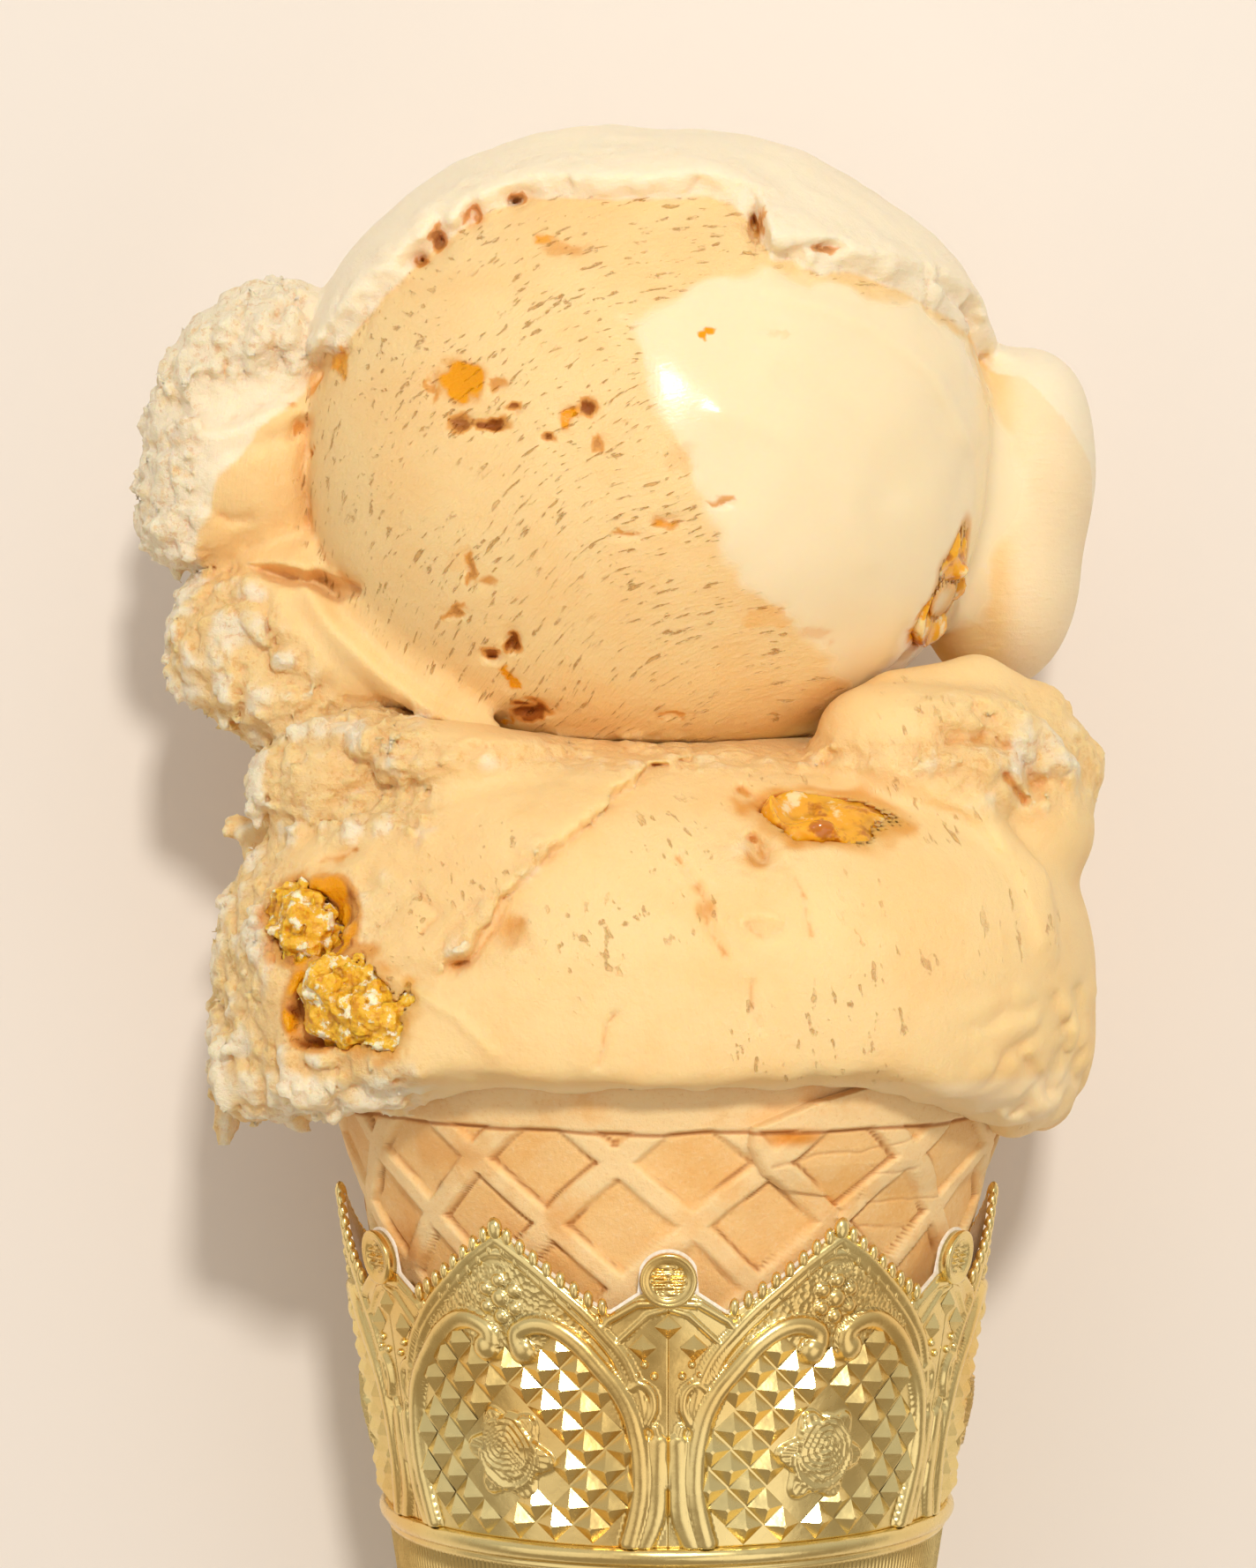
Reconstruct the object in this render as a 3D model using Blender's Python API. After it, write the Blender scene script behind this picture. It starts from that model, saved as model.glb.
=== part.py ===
"""An ice cream cone lying on its back.

Two scoops of caramel ice cream sit in a rolled waffle cone, and the cone sits in an
embossed foil sleeve. Sizes are in millimetres and become metres when a mesh is made.
X runs to the right, Y runs from the cone's tip to the top of the ice cream, and Z is up.
The cone's axis is parallel to Y, at AXIS_HEIGHT above the surface that the ice cream
rests on. Shapes are described round that axis, so their own Z starts there.
"""

import itertools
import math

import bmesh
import bpy
import numpy as np

MM = 0.001

# Driving sizes of the whole
AXIS_HEIGHT = 40.0
RIM_Y = -12.0
SLEEVE_TIP_Y = -144.0
GAP = 0.45
PLUG_GAP = 1.1

# Rolled waffle cone
WAFFLE_REFERENCE_Y = -21.0
WAFFLE_REFERENCE_RADIUS = 31.7
WAFFLE_SLOPE = 0.2586
WAFFLE_WALL = 2.2
WAFFLE_TIP_Y = -138.0
WAFFLE_BAND_Y = -16.8
WAFFLE_RELIEF_END_Y = -38.0
RIDGE_HEIGHT = 0.55
RIDGE_FLOOR = -0.4
RIDGE_WIDTH = 2.3
CELLS_AROUND = 14
CELL_HEIGHT = 12.2
# Where two ridges cross: angle from the front in degrees, and Y
RIDGE_CROSSING = (-8.6, -20.0)
RIDGE_TOP_SHARE = 0.19
RIDGE_FOOT_SHARE = 0.56
BAND_RELIEF_SHARE = 0.6
WAFFLE_COLUMNS = 216
WAFFLE_ROW_STEP = 0.75
WAFFLE_TRIANGLES = 2600
WAFFLE_PLAIN_ROWS_Y = (-60.0, -100.0)
# The outer layer's free edge: angle from the front, in degrees, against Y
SEAM_PATH = ((-12.0, 38.0), (-14.4, 22.0), (-16.5, 13.0), (-18.4, 12.6), (-21.1, 15.2),
             (-22.7, 19.5), (-23.6, 28.0), (-25.0, 31.0), (-30.0, 44.0), (-38.0, 60.0),
             (-138.0, 110.0))
LAYER_STEP = 1.4
LAYER_STEP_IN_SLEEVE = 0.45
LAYER_STEP_ENDS_Y = -24.0
LAYER_STEP_STARTS_Y = -20.5
LAYER_FADE_TURN = 260.0
SEAM_WIDTH_TURN = 0.7

# Foil sleeve
SECTORS = 6
FOIL = 0.5
SLEEVE_REFERENCE_Y = -22.0
SLEEVE_REFERENCE_RADIUS = 33.1
SLEEVE_SLOPE = 0.153
CORD_Y = -57.5
SECOND_CORD_Y = -73.0
CORD_RADIUS = 0.9
ARCH_TIP_Y = -25.5
VALLEY_Y = -33.4
FINIAL_TOP_Y = -28.3
FINIAL_NECK_Y = -32.4
# Half a sector of the edge: angle from the finial's middle, in degrees, against Y
SLEEVE_EDGE = ((0.0, FINIAL_TOP_Y), (2.5, -28.8), (4.2, -29.9), (5.0, -31.3),
               (5.4, FINIAL_NECK_Y), (9.6, VALLEY_Y), (14.5, -31.8), (19.5, -29.9),
               (25.0, -27.5), (30.0, ARCH_TIP_Y))
MEDALLION_BULGE = 0.5
# Places between the arched edge and the first cord, as a share, and their bulge
MEDALLION_STATIONS = ((0.0, 0.0), (0.12, 0.3), (0.3, MEDALLION_BULGE),
                      (0.65, MEDALLION_BULGE), (1.0, 0.0))
FLUTES = 36
FLUTE_DEPTH = 0.35
FLUTE_STATIONS_Y = (-92.0, -112.0, -130.0)
TIP_TAPER_POWER = 0.85
TIP_WALL = 3.0
SMALLEST_RADIUS = 0.3

# Upper scoop: the ball, the hood behind it, and its flaps
BALL_CENTRE = (-2.4, 46.4, 1.0)
BALL_RADII = (34.1, 30.6, 33.5)
HOOD_CENTRE = (-2.0, 46.0, -1.0)
HOOD_RADII = (36.6, 33.0, 39.9)
HOOD_POWER = 2.12
HOOD_FACING = (0.061, -0.824, 0.564)
# How far the hood's edge reaches over the ball, against X
HOOD_EDGE = ((-36.0, -1.0), (-26.0, -4.4), (-16.6, -9.2), (-5.7, -7.3), (7.6, -6.4),
             (9.4, 1.4), (21.0, 0.1), (28.0, -5.5), (36.0, -8.0))
# Lumps of the two flaps at the left: centre, radii and turn about Z in degrees
LEFT_FLAP = (((-41.0, 47.5, 1.0), (10.4, 11.5, 13.0), -4.0),
             ((-38.6, 55.2, 2.0), (8.6, 8.0, 12.0), 28.0),
             ((-46.6, 40.6, 3.0), (5.2, 5.2, 8.0), 0.0))
LOW_FLAP = (((-40.6, 28.0, 1.0), (8.6, 7.6, 12.0), -8.0),
            ((-29.5, 28.6, 6.5), (13.5, 8.2, 9.5), -24.0),
            ((-36.0, 22.2, 4.0), (9.0, 5.6, 11.0), -28.0))
FOLD_PATH = ((-38.0, 31.0, 11.5, 2.4), (-29.0, 27.0, 15.0, 2.3), (-22.5, 22.8, 17.5, 2.0),
             (-17.2, 19.6, 18.5, 1.2))
FLAP_GROOVE = ((-50.0, 50.5, 10.0, 1.6), (-42.0, 52.6, 14.5, 2.6), (-33.5, 56.0, 14.0, 1.9))
SLIT_CENTRE = (-38.2, 35.6, 10.0)
SLIT_RADII = (10.6, 1.5, 11.5)
SLIT_TURN = -14.0
RIGHT_LOBE = (((35.4, 48.0, -8.0), (7.4, 9.7, 12.5), 0.0),
              ((33.2, 37.5, -8.0), (8.4, 13.8, 13.5), 0.0))

# Lower scoop: the main body, its dome and what was pushed up round the ball
BODY_CENTRE = (-1.2, -6.0, -0.2)
BODY_RADII = (43.4, 25.8, 41.6)
BODY_POWER = 2.45
DOME_CENTRE = (7.0, -4.6, 5.0)
DOME_RADII = (34.5, 23.2, 36.0)
# The scooped face at the upper left: a point on it and the way that it faces
FACET_POINT = (-12.0, 8.0, 36.3)
FACET_FACING = (-0.42, 0.42, 0.80)
SKIRT_FRONT_Y = -11.6
SKIRT_DROP = 6.2
PLUG_END_Y = -30.0
# Lumps that were pushed up round the ball and over the rim: centre, radii and turn
COLLAR_LUMPS = (((25.0, 17.6, 17.5), (11.0, 6.4, 10.0), -12.0),
                ((33.0, 12.0, 10.0), (7.5, 9.0, 12.0), 30.0),
                ((-31.0, 15.4, 9.0), (9.5, 6.5, 13.0), 20.0),
                ((-20.0, 17.0, 20.0), (10.0, 3.6, 7.0), -8.0),
                ((0.0, 18.5, -24.0), (25.0, 8.0, 9.0), 0.0),
                ((-38.0, -13.0, 14.0), (5.5, 4.5, 9.0), 0.0),
                ((-29.0, -11.8, 27.0), (6.6, 3.6, 4.5), 8.0))
CURL_PATH = ((22.0, 22.4, 16.0, 3.2), (29.5, 23.0, 14.0, 3.8), (35.2, 20.4, 12.0, 3.7),
             (38.2, 16.4, 10.5, 3.6), (38.3, 13.4, 9.5, 3.1))
CURL_HOLLOW = ((34.2, 15.6, 17.0), (1.5, 4.4, 8.0), 34.0)
SPUR_PATH = ((-38.6, 9.0, 6.0, 3.0), (-42.3, 10.0, 5.0, 1.1))
DRIP_PATH = ((-43.0, -14.5, 4.0, 1.9), (-43.3, -19.2, 5.0, 1.4))

# Pieces of caramel and honeycomb: centre, radii, turn about Z in degrees, and seed
CHUNKS = {
    "caramel_piece_upper": ((26.0, 34.2, 13.0), (3.6, 6.8, 3.8), 10.0, 3),
    "caramel_piece_seam": ((14.6, 11.4, 31.8), (7.2, 2.7, 3.4), 8.0, 5),
    "honeycomb_piece_front": ((-26.4, -5.5, 31.6), (6.8, 4.3, 3.8), -8.0, 7),
    "honeycomb_piece_side": ((-34.0, 1.6, 26.2), (3.8, 4.3, 3.6), 12.0, 9),
}
CHUNK_GAP = 0.6

# Surface finish of the solids
VOXEL = 1.15
UPPER_TRIANGLES = 3760
LOWER_TRIANGLES = 3370
SCOOP_GAP = 0.9
# Grid bounds of the two scoops: lowest and highest X, Y and Z
UPPER_BOUNDS = ((-55.0, 11.0, -43.0), (46.0, 82.0, 37.0))
LOWER_BOUNDS = ((-48.0, -33.0, -43.0), (45.0, 30.0, 43.0))

MATERIALS = {
    "ice_cream": ((0.93, 0.63, 0.24, 1.0), 0.45, 0.0),
    "caramel": ((0.86, 0.36, 0.02, 1.0), 0.15, 0.0),
    "honeycomb": ((0.72, 0.36, 0.04, 1.0), 0.4, 0.0),
    "waffle": ((0.84, 0.5, 0.17, 1.0), 0.7, 0.0),
    "gold_foil": ((0.72, 0.5, 0.16, 1.0), 0.25, 1.0),
}


def clear_scene():
    """Remove every object that the file starts with."""
    for item in list(bpy.data.objects):
        bpy.data.objects.remove(item, do_unlink=True)


def finish(name):
    """Return the named material with its colour, roughness and metallic value."""
    material = bpy.data.materials.get(name)
    if material is None:
        material = bpy.data.materials.new(name)
        colour, roughness, metallic = MATERIALS[name]
        material.use_nodes = True
        shader = material.node_tree.nodes["Principled BSDF"]
        shader.inputs["Base Color"].default_value = colour
        shader.inputs["Roughness"].default_value = roughness
        shader.inputs["Metallic"].default_value = metallic
    return material


def smooth_union(first, second, blend):
    """Join two distance fields with a fillet of about the blend's size."""
    overlap = np.maximum(blend - np.abs(first - second), 0.0) / blend
    return np.minimum(first, second) - overlap * overlap * blend * 0.25


def smooth_cut(field, cutter, blend):
    """Take the cutter's space out of a field, with a rounded edge."""
    return -smooth_union(-field, cutter, blend)


def ellipsoid(point, centre, radii, power=2.0, turn=0.0):
    """Distance, near the surface, to an ellipsoid or a squarer shape of a higher power."""
    angle = math.radians(turn)
    dx = point[0] - centre[0]
    dy = point[1] - centre[1]
    along = dx * math.cos(angle) + dy * math.sin(angle)
    across = dy * math.cos(angle) - dx * math.sin(angle)
    parts = [np.abs(along) / radii[0], np.abs(across) / radii[1],
             np.abs(point[2] - centre[2]) / radii[2]]
    size = np.maximum(sum(part ** power for part in parts), 1e-9) ** (1.0 / power)
    slope = np.sqrt(sum((part ** (power - 1.0) / radius) ** 2
                        for part, radius in zip(parts, radii)))
    slope = np.maximum(slope / size ** (power - 1.0), 1e-6)
    return (size - 1.0) / slope


def lumps(point, pieces, blend):
    """Distance to lumps, each of a centre, radii and a turn, melted into one another."""
    result = None
    for centre, radii, turn in pieces:
        piece = ellipsoid(point, centre, radii, power=2.3, turn=turn)
        result = piece if result is None else smooth_union(result, piece, blend)
    return result


def rounded_path(point, stations):
    """Distance to a round bar through stations of x, y, z and radius."""
    result = None
    for start, end in zip(stations, stations[1:]):
        a = np.array(start[:3])
        step = np.array(end[:3]) - a
        delta = [axis - value for axis, value in zip(point, a)]
        along = sum(d * s for d, s in zip(delta, step)) / float(step @ step)
        along = np.clip(along, 0.0, 1.0)
        gap = np.sqrt(sum((d - along * s) ** 2 for d, s in zip(delta, step)))
        bar = gap - (start[3] + (end[3] - start[3]) * along)
        result = bar if result is None else smooth_union(result, bar, 1.0)
    return result


def lattice_value(i, j, k, seed):
    """A repeatable number from -1 to 1 for each whole-numbered lattice point."""
    mixed = (i * 73856093) ^ (j * 19349663) ^ (k * 83492791) ^ (seed * 2654435761)
    mixed = ((mixed ^ (mixed >> 13)) & 0x7FFFFFFF) * 1274126177
    mixed = (mixed ^ (mixed >> 16)) & 0xFFFFFF
    return mixed / float(0x7FFFFF) - 1.0


def noise(point, scale, seed):
    """Smooth lumpy noise from -1 to 1 with lumps of about the scale's size."""
    cell = [np.floor(axis / scale).astype(np.int64) for axis in point]
    part = [axis / scale - base for axis, base in zip(point, cell)]
    ease = [t * t * t * (t * (t * 6.0 - 15.0) + 10.0) for t in part]
    total = 0.0
    for corner in itertools.product((0, 1), repeat=3):
        weight = 1.0
        for side, t in zip(corner, ease):
            weight = weight * (t if side else 1.0 - t)
        total = total + weight * lattice_value(*(c + s for c, s in zip(cell, corner)), seed)
    return total


def rise(value, start, end):
    """Go smoothly from 0 at the start to 1 at the end."""
    t = np.clip((value - start) / (end - start), 0.0, 1.0)
    return t * t * (3.0 - 2.0 * t)


def chunk_space(point, margin):
    """Distance to the nearest caramel or honeycomb piece, made larger by a margin."""
    result = None
    for centre, radii, turn, _ in CHUNKS.values():
        grown = tuple(radius + margin for radius in radii)
        piece = ellipsoid(point, centre, grown, turn=turn)
        result = piece if result is None else np.minimum(result, piece)
    return result


def torn(point):
    """How rough the ice cream is torn: 1 at its outer edges and 0 on scooped faces."""
    x, y, _ = point
    left = rise(-x, 34.0, 40.0)
    fringe = rise(-x, 20.0, 27.0) * rise(-np.abs(y - 18.0), -7.0, -3.0)
    right = 0.5 * rise(x, 20.0, 30.0) * rise(-np.abs(y - 18.0), -8.0, -4.0)
    skirt = rise(-y, 9.0, 12.0) * rise(-x, 14.0, 22.0)
    return np.clip(left + fringe + right + skirt, 0.0, 1.0)


def roughness_relief(point):
    """Lumps of torn ice cream, in millimetres outwards."""
    coarse = noise(point, 4.2, 11)
    fine = noise(point, 2.3, 12)
    return (0.75 * coarse + 0.35 * fine) * torn(point) + 0.12 * coarse


def hood_field(point):
    """The smooth layer that wraps the back and the top of the ball."""
    layer = ellipsoid(point, HOOD_CENTRE, HOOD_RADII, power=HOOD_POWER)
    reach = sum((axis - centre) * part
                for axis, centre, part in zip(point, BALL_CENTRE, HOOD_FACING))
    edge = np.interp(point[0], *zip(*HOOD_EDGE)) + 0.9 * noise(point, 3.4, 21)
    return smooth_cut(layer, -(reach - edge), 1.2)


def upper_scoop_field(point):
    """The ball with its hood, flaps and lobe, as one lump of ice cream."""
    ball = ellipsoid(point, BALL_CENTRE, BALL_RADII, power=2.12)
    scoop = smooth_union(ball, hood_field(point), 1.0)
    scoop = smooth_union(scoop, lumps(point, RIGHT_LOBE, 5.0), 3.0)
    flap = smooth_cut(lumps(point, LEFT_FLAP, 3.0), rounded_path(point, FLAP_GROOVE), 1.6)
    scoop = smooth_union(scoop, flap, 0.9)
    sheet = smooth_union(lumps(point, LOW_FLAP, 3.0), rounded_path(point, FOLD_PATH), 3.0)
    scoop = smooth_union(scoop, sheet, 3.5)
    slit = ellipsoid(point, SLIT_CENTRE, SLIT_RADII, turn=SLIT_TURN)
    scoop = smooth_cut(scoop, slit, 0.8)
    scoop = scoop - roughness_relief(point)
    return np.maximum(scoop, -chunk_space(point, CHUNK_GAP))


def waffle_radius(y):
    """Plain outer radius of the inner layer of waffle at a place along the cone."""
    return WAFFLE_REFERENCE_RADIUS + (y - WAFFLE_REFERENCE_Y) * WAFFLE_SLOPE


def skirt_edge(point):
    """Y of the lower edge of the ice cream that hangs over the rim."""
    x, _, z = point
    round_front = np.clip(z / 38.0, 0.0, 1.0) ** 2
    side = 1.0 - round_front
    wave = 0.8 * noise((x, 0.0 * x, z), 9.0, 31)
    return SKIRT_FRONT_Y - SKIRT_DROP * side - 1.8 * rise(x, 18.0, 33.0) * side + wave


def rim_groove(point):
    """Space kept round the waffle's rim, wide enough for its two layers."""
    x, y, z = point
    radius = np.sqrt(x * x + z * z)
    outer = waffle_radius(y) + LAYER_STEP + RIDGE_HEIGHT + GAP
    inner = waffle_radius(y) - WAFFLE_WALL - PLUG_GAP
    ring = np.maximum(radius - outer, inner - radius)
    return np.maximum(ring, y - (RIM_Y + GAP + 0.15))


def lower_scoop_field(point):
    """The lower scoop, spread over the rim and pressed into the cone's mouth."""
    x, y, z = point
    body = ellipsoid(point, BODY_CENTRE, BODY_RADII, power=BODY_POWER)
    facet = sum((FACET_POINT[i] - point[i]) * FACET_FACING[i] for i in range(3))
    body = smooth_cut(body, facet, 2.0)
    body = smooth_union(body, ellipsoid(point, DOME_CENTRE, DOME_RADII, power=2.3), 0.8)
    body = smooth_cut(body, y - skirt_edge(point), 2.0)
    body = smooth_union(body, lumps(point, COLLAR_LUMPS, 2.0), 2.6)
    for path in (CURL_PATH, SPUR_PATH, DRIP_PATH):
        body = smooth_union(body, rounded_path(point, path), 1.4)
    hollow_centre, hollow_radii, hollow_turn = CURL_HOLLOW
    hollow = ellipsoid(point, hollow_centre, hollow_radii, turn=hollow_turn)
    body = smooth_cut(body, hollow, 0.8)
    body = body - roughness_relief(point)
    radius = np.sqrt(x * x + z * z)
    plug = np.maximum(radius - (waffle_radius(y) - WAFFLE_WALL - PLUG_GAP), PLUG_END_Y - y)
    body = np.minimum(body, np.maximum(plug, y - SKIRT_FRONT_Y - 4.0))
    body = np.maximum(body, -rim_groove(point))
    body = np.maximum(body, SCOOP_GAP - upper_scoop_field(point))
    return np.maximum(body, -chunk_space(point, CHUNK_GAP))


def iso_surface(field, low, high):
    """Triangles where a field is zero, from a grid of cubes cut into six tetrahedra."""
    axes = [np.arange(a, b + VOXEL, VOXEL) for a, b in zip(low, high)]
    value = field(np.meshgrid(*axes, indexing="ij"))
    flat = value.ravel()
    steps = (value.shape[1] * value.shape[2], value.shape[2], 1)
    inside = value < 0.0
    cells = tuple(size - 1 for size in value.shape)
    count = np.zeros(cells, dtype=np.int8)
    for a, b, c in itertools.product((0, 1), repeat=3):
        count += inside[a:a + cells[0], b:b + cells[1], c:c + cells[2]]
    active = np.nonzero((count > 0) & (count < 8))
    base = sum(index * step for index, step in zip(active, steps))

    edges = []
    for first, second, _ in itertools.permutations(steps):
        corners = np.stack((base, base + first, base + first + second, base + sum(steps)), 1)
        sign = flat[corners] < 0.0
        number = sign.sum(axis=1)
        for lone in range(4):
            apart = ((number == 1) & sign[:, lone]) | ((number == 3) & ~sign[:, lone])
            chosen = corners[apart]
            others = [i for i in range(4) if i != lone]
            edges.append(np.stack([chosen[:, (lone, i)] for i in others], 1))
        for partner in range(1, 4):
            a, b = (i for i in range(1, 4) if i != partner)
            even = (number == 2) & (sign[:, 0] == sign[:, partner])
            chosen = corners[even]
            ring = [chosen[:, pair] for pair in ((0, a), (0, b), (partner, b), (partner, a))]
            edges.append(np.stack((ring[0], ring[1], ring[2]), 1))
            edges.append(np.stack((ring[0], ring[2], ring[3]), 1))
    ends = np.sort(np.concatenate(edges).reshape(-1, 2), axis=1)
    keys, faces = np.unique(ends[:, 0] * flat.size + ends[:, 1], return_inverse=True)
    start, end = keys // flat.size, keys % flat.size
    part = np.clip(flat[start] / (flat[start] - flat[end]), 0.04, 0.96)[:, None]
    places = [np.stack([axis[i] for axis, i in zip(axes, np.unravel_index(index, value.shape))], 1)
              for index in (start, end)]
    return places[0] + (places[1] - places[0]) * part, faces.reshape(-1, 3)


def to_world(points):
    """Lift points from the cone's axis to their height above the floor, in metres."""
    return [(x * MM, y * MM, (z + AXIS_HEIGHT) * MM) for x, y, z in points]


def add_object(name, mesh, material):
    """Link a finished mesh to the scene under its name, smooth-shaded."""
    mesh.materials.clear()
    mesh.materials.append(finish(material))
    mesh.shade_smooth()
    mesh.set_sharp_from_angle(angle=math.radians(40.0))
    item = bpy.data.objects.new(name, mesh)
    bpy.context.scene.collection.objects.link(item)
    return item


def keep_largest_island(shape):
    """Delete every loose scrap, so that one body is left."""
    unseen = set(shape.verts)
    largest = set()
    while unseen:
        island = {unseen.pop()}
        front = list(island)
        while front:
            vertex = front.pop()
            for edge in vertex.link_edges:
                other = edge.other_vert(vertex)
                if other in unseen:
                    unseen.remove(other)
                    island.add(other)
                    front.append(other)
        if len(island) > len(largest):
            largest = island
    scraps = [vertex for vertex in shape.verts if vertex not in largest]
    bmesh.ops.delete(shape, geom=scraps, context="VERTS")


def thinned(mesh, triangles):
    """Return the mesh reduced to about a number of triangles."""
    carrier = bpy.data.objects.new("carrier", mesh)
    bpy.context.scene.collection.objects.link(carrier)
    modifier = carrier.modifiers.new("Decimate", "DECIMATE")
    modifier.ratio = min(1.0, triangles / len(mesh.polygons))
    graph = bpy.context.evaluated_depsgraph_get()
    result = bpy.data.meshes.new_from_object(carrier.evaluated_get(graph))
    bpy.data.objects.remove(carrier)
    bpy.data.meshes.remove(mesh)
    return result


def cut_flat_at_floor(mesh):
    """Cut the mesh off at the floor and close it with a flat face."""
    shape = bmesh.new()
    shape.from_mesh(mesh)
    everything = shape.verts[:] + shape.edges[:] + shape.faces[:]
    bmesh.ops.bisect_plane(shape, geom=everything, dist=1e-6, plane_co=(0, 0, 0),
                           plane_no=(0, 0, -1), clear_outer=True)
    border = [edge for edge in shape.edges if edge.is_boundary]
    bmesh.ops.holes_fill(shape, edges=border, sides=0)
    bmesh.ops.triangulate(shape, faces=[face for face in shape.faces if len(face.verts) > 3])
    bmesh.ops.recalc_face_normals(shape, faces=shape.faces)
    shape.to_mesh(mesh)
    shape.free()


def add_scoop(name, field, bounds, triangles):
    """Make one scoop of ice cream from its field, resting flat on the floor."""
    points, faces = iso_surface(field, *bounds)
    mesh = bpy.data.meshes.new(name)
    mesh.from_pydata(to_world(points.tolist()), [], faces.tolist())
    shape = bmesh.new()
    shape.from_mesh(mesh)
    keep_largest_island(shape)
    bmesh.ops.recalc_face_normals(shape, faces=shape.faces)
    shape.to_mesh(mesh)
    shape.free()
    mesh = thinned(mesh, triangles)
    cut_flat_at_floor(mesh)
    return add_object(name, mesh, "ice_cream")


def add_chunk(name):
    """Make one uneven piece of caramel or honeycomb, within its own ellipsoid."""
    centre, radii, turn, seed = CHUNKS[name]
    shape = bmesh.new()
    bmesh.ops.create_icosphere(shape, subdivisions=2, radius=1.0)
    angle = math.radians(turn)
    for vertex in shape.verts:
        direction = np.array(vertex.co[:]) / vertex.co.length
        reach = 0.82 + 0.17 * float(noise([np.array(d + 9.0) for d in direction], 0.55, seed))
        x, y, z = (d * radius * reach for d, radius in zip(direction, radii))
        place = (centre[0] + x * math.cos(angle) - y * math.sin(angle),
                 centre[1] + x * math.sin(angle) + y * math.cos(angle), centre[2] + z)
        vertex.co = to_world([place])[0]
    mesh = bpy.data.meshes.new(name)
    shape.to_mesh(mesh)
    shape.free()
    return add_object(name, mesh, "caramel" if "caramel" in name else "honeycomb")


def ring_points(radius_at, angles, y_at):
    """Points round the axis for each angle, from functions for radius and Y."""
    ring = []
    for angle in angles:
        y = y_at(angle)
        radius = radius_at(angle, y)
        turn = math.radians(angle)
        ring.append((radius * math.sin(turn), y, radius * math.cos(turn)))
    return ring


def closed_wall(name, rings):
    """Join rings of equal length in order, and close the first to the last by their ends.

    A ring of one point is a tip, which closes the wall there.
    """
    shape = bmesh.new()
    loops = [[shape.verts.new(place) for place in to_world(ring)] for ring in rings]
    for upper, lower in zip(loops, loops[1:] + loops[:1]):
        if len(upper) == 1 and len(lower) == 1:
            continue
        size = max(len(upper), len(lower))
        for i in range(size):
            j = (i + 1) % size
            corners = [upper[i % len(upper)], upper[j % len(upper)],
                       lower[j % len(lower)], lower[i % len(lower)]]
            unique = list(dict.fromkeys(corners))
            shape.faces.new(unique)
    bmesh.ops.triangulate(shape, faces=shape.faces)
    bmesh.ops.recalc_face_normals(shape, faces=shape.faces)
    mesh = bpy.data.meshes.new(name)
    shape.to_mesh(mesh)
    shape.free()
    return mesh


def lattice_ridge(angle, y):
    """Relief of the crossed ridges that a waffle iron leaves, in millimetres."""
    if y > WAFFLE_BAND_Y:
        return RIDGE_HEIGHT * BAND_RELIEF_SHARE
    if y < WAFFLE_RELIEF_END_Y:
        return 0.0
    crossing_angle, crossing_y = RIDGE_CROSSING
    around = (angle - crossing_angle) / 360.0 * CELLS_AROUND
    along = (crossing_y - y) / CELL_HEIGHT
    width = RIDGE_WIDTH / CELL_HEIGHT
    ridge = 0.0
    for position in (around + along, around - along):
        offset = abs(position - round(position))
        fall = float(rise(offset, width * RIDGE_TOP_SHARE, width * RIDGE_FOOT_SHARE))
        ridge = max(ridge, 1.0 - fall)
    return RIDGE_FLOOR + (RIDGE_HEIGHT - RIDGE_FLOOR) * ridge


def seam_angle(y):
    """Angle of the outer layer's free edge at a place along the cone."""
    places, angles = zip(*reversed(SEAM_PATH))
    return float(np.interp(y, places, angles))


def layer_offset(turn_from_seam, y):
    """How far the outer layer stands off the inner one."""
    step = float(np.interp(y, (LAYER_STEP_ENDS_Y, LAYER_STEP_STARTS_Y),
                           (LAYER_STEP_IN_SLEEVE, LAYER_STEP)))
    return step * (1.0 - float(rise(turn_from_seam, 0.0, LAYER_FADE_TURN)))


def add_waffle_cone():
    """Make the rolled waffle cone, hollow, with crossed ridges where it shows."""
    columns = WAFFLE_COLUMNS
    turns = [SEAM_WIDTH_TURN + (360.0 - SEAM_WIDTH_TURN) * i / (columns - 1)
             for i in range(columns)]
    steps = round((RIM_Y - WAFFLE_RELIEF_END_Y) / WAFFLE_ROW_STEP)
    rows = [RIM_Y - i * WAFFLE_ROW_STEP for i in range(steps + 1)] + list(WAFFLE_PLAIN_ROWS_Y)

    def outer(turn, y):
        angle = seam_angle(y) + turn
        layer = 0.0 if turn >= 360.0 - 1e-6 else layer_offset(turn, y)
        return waffle_radius(y) + layer + lattice_ridge(angle, y)

    rings = []
    for y in rows:
        ring = [(outer(turn, y), math.radians(seam_angle(y) + turn)) for turn in turns]
        rings.append([(r * math.sin(a), y, r * math.cos(a)) for r, a in ring])
    rings.append([(0.0, WAFFLE_TIP_Y, 0.0)])
    inner_end = WAFFLE_TIP_Y + WAFFLE_WALL / WAFFLE_SLOPE
    rings.append([(0.0, inner_end, 0.0)])
    for y in (WAFFLE_PLAIN_ROWS_Y[0], RIM_Y):
        radius = waffle_radius(y) - WAFFLE_WALL
        ring = [math.radians(seam_angle(y) + turn) for turn in turns]
        rings.append([(radius * math.sin(a), y, radius * math.cos(a)) for a in ring])
    mesh = thinned(closed_wall("waffle_cone", rings), WAFFLE_TRIANGLES)
    return add_object("waffle_cone", mesh, "waffle")


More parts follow.
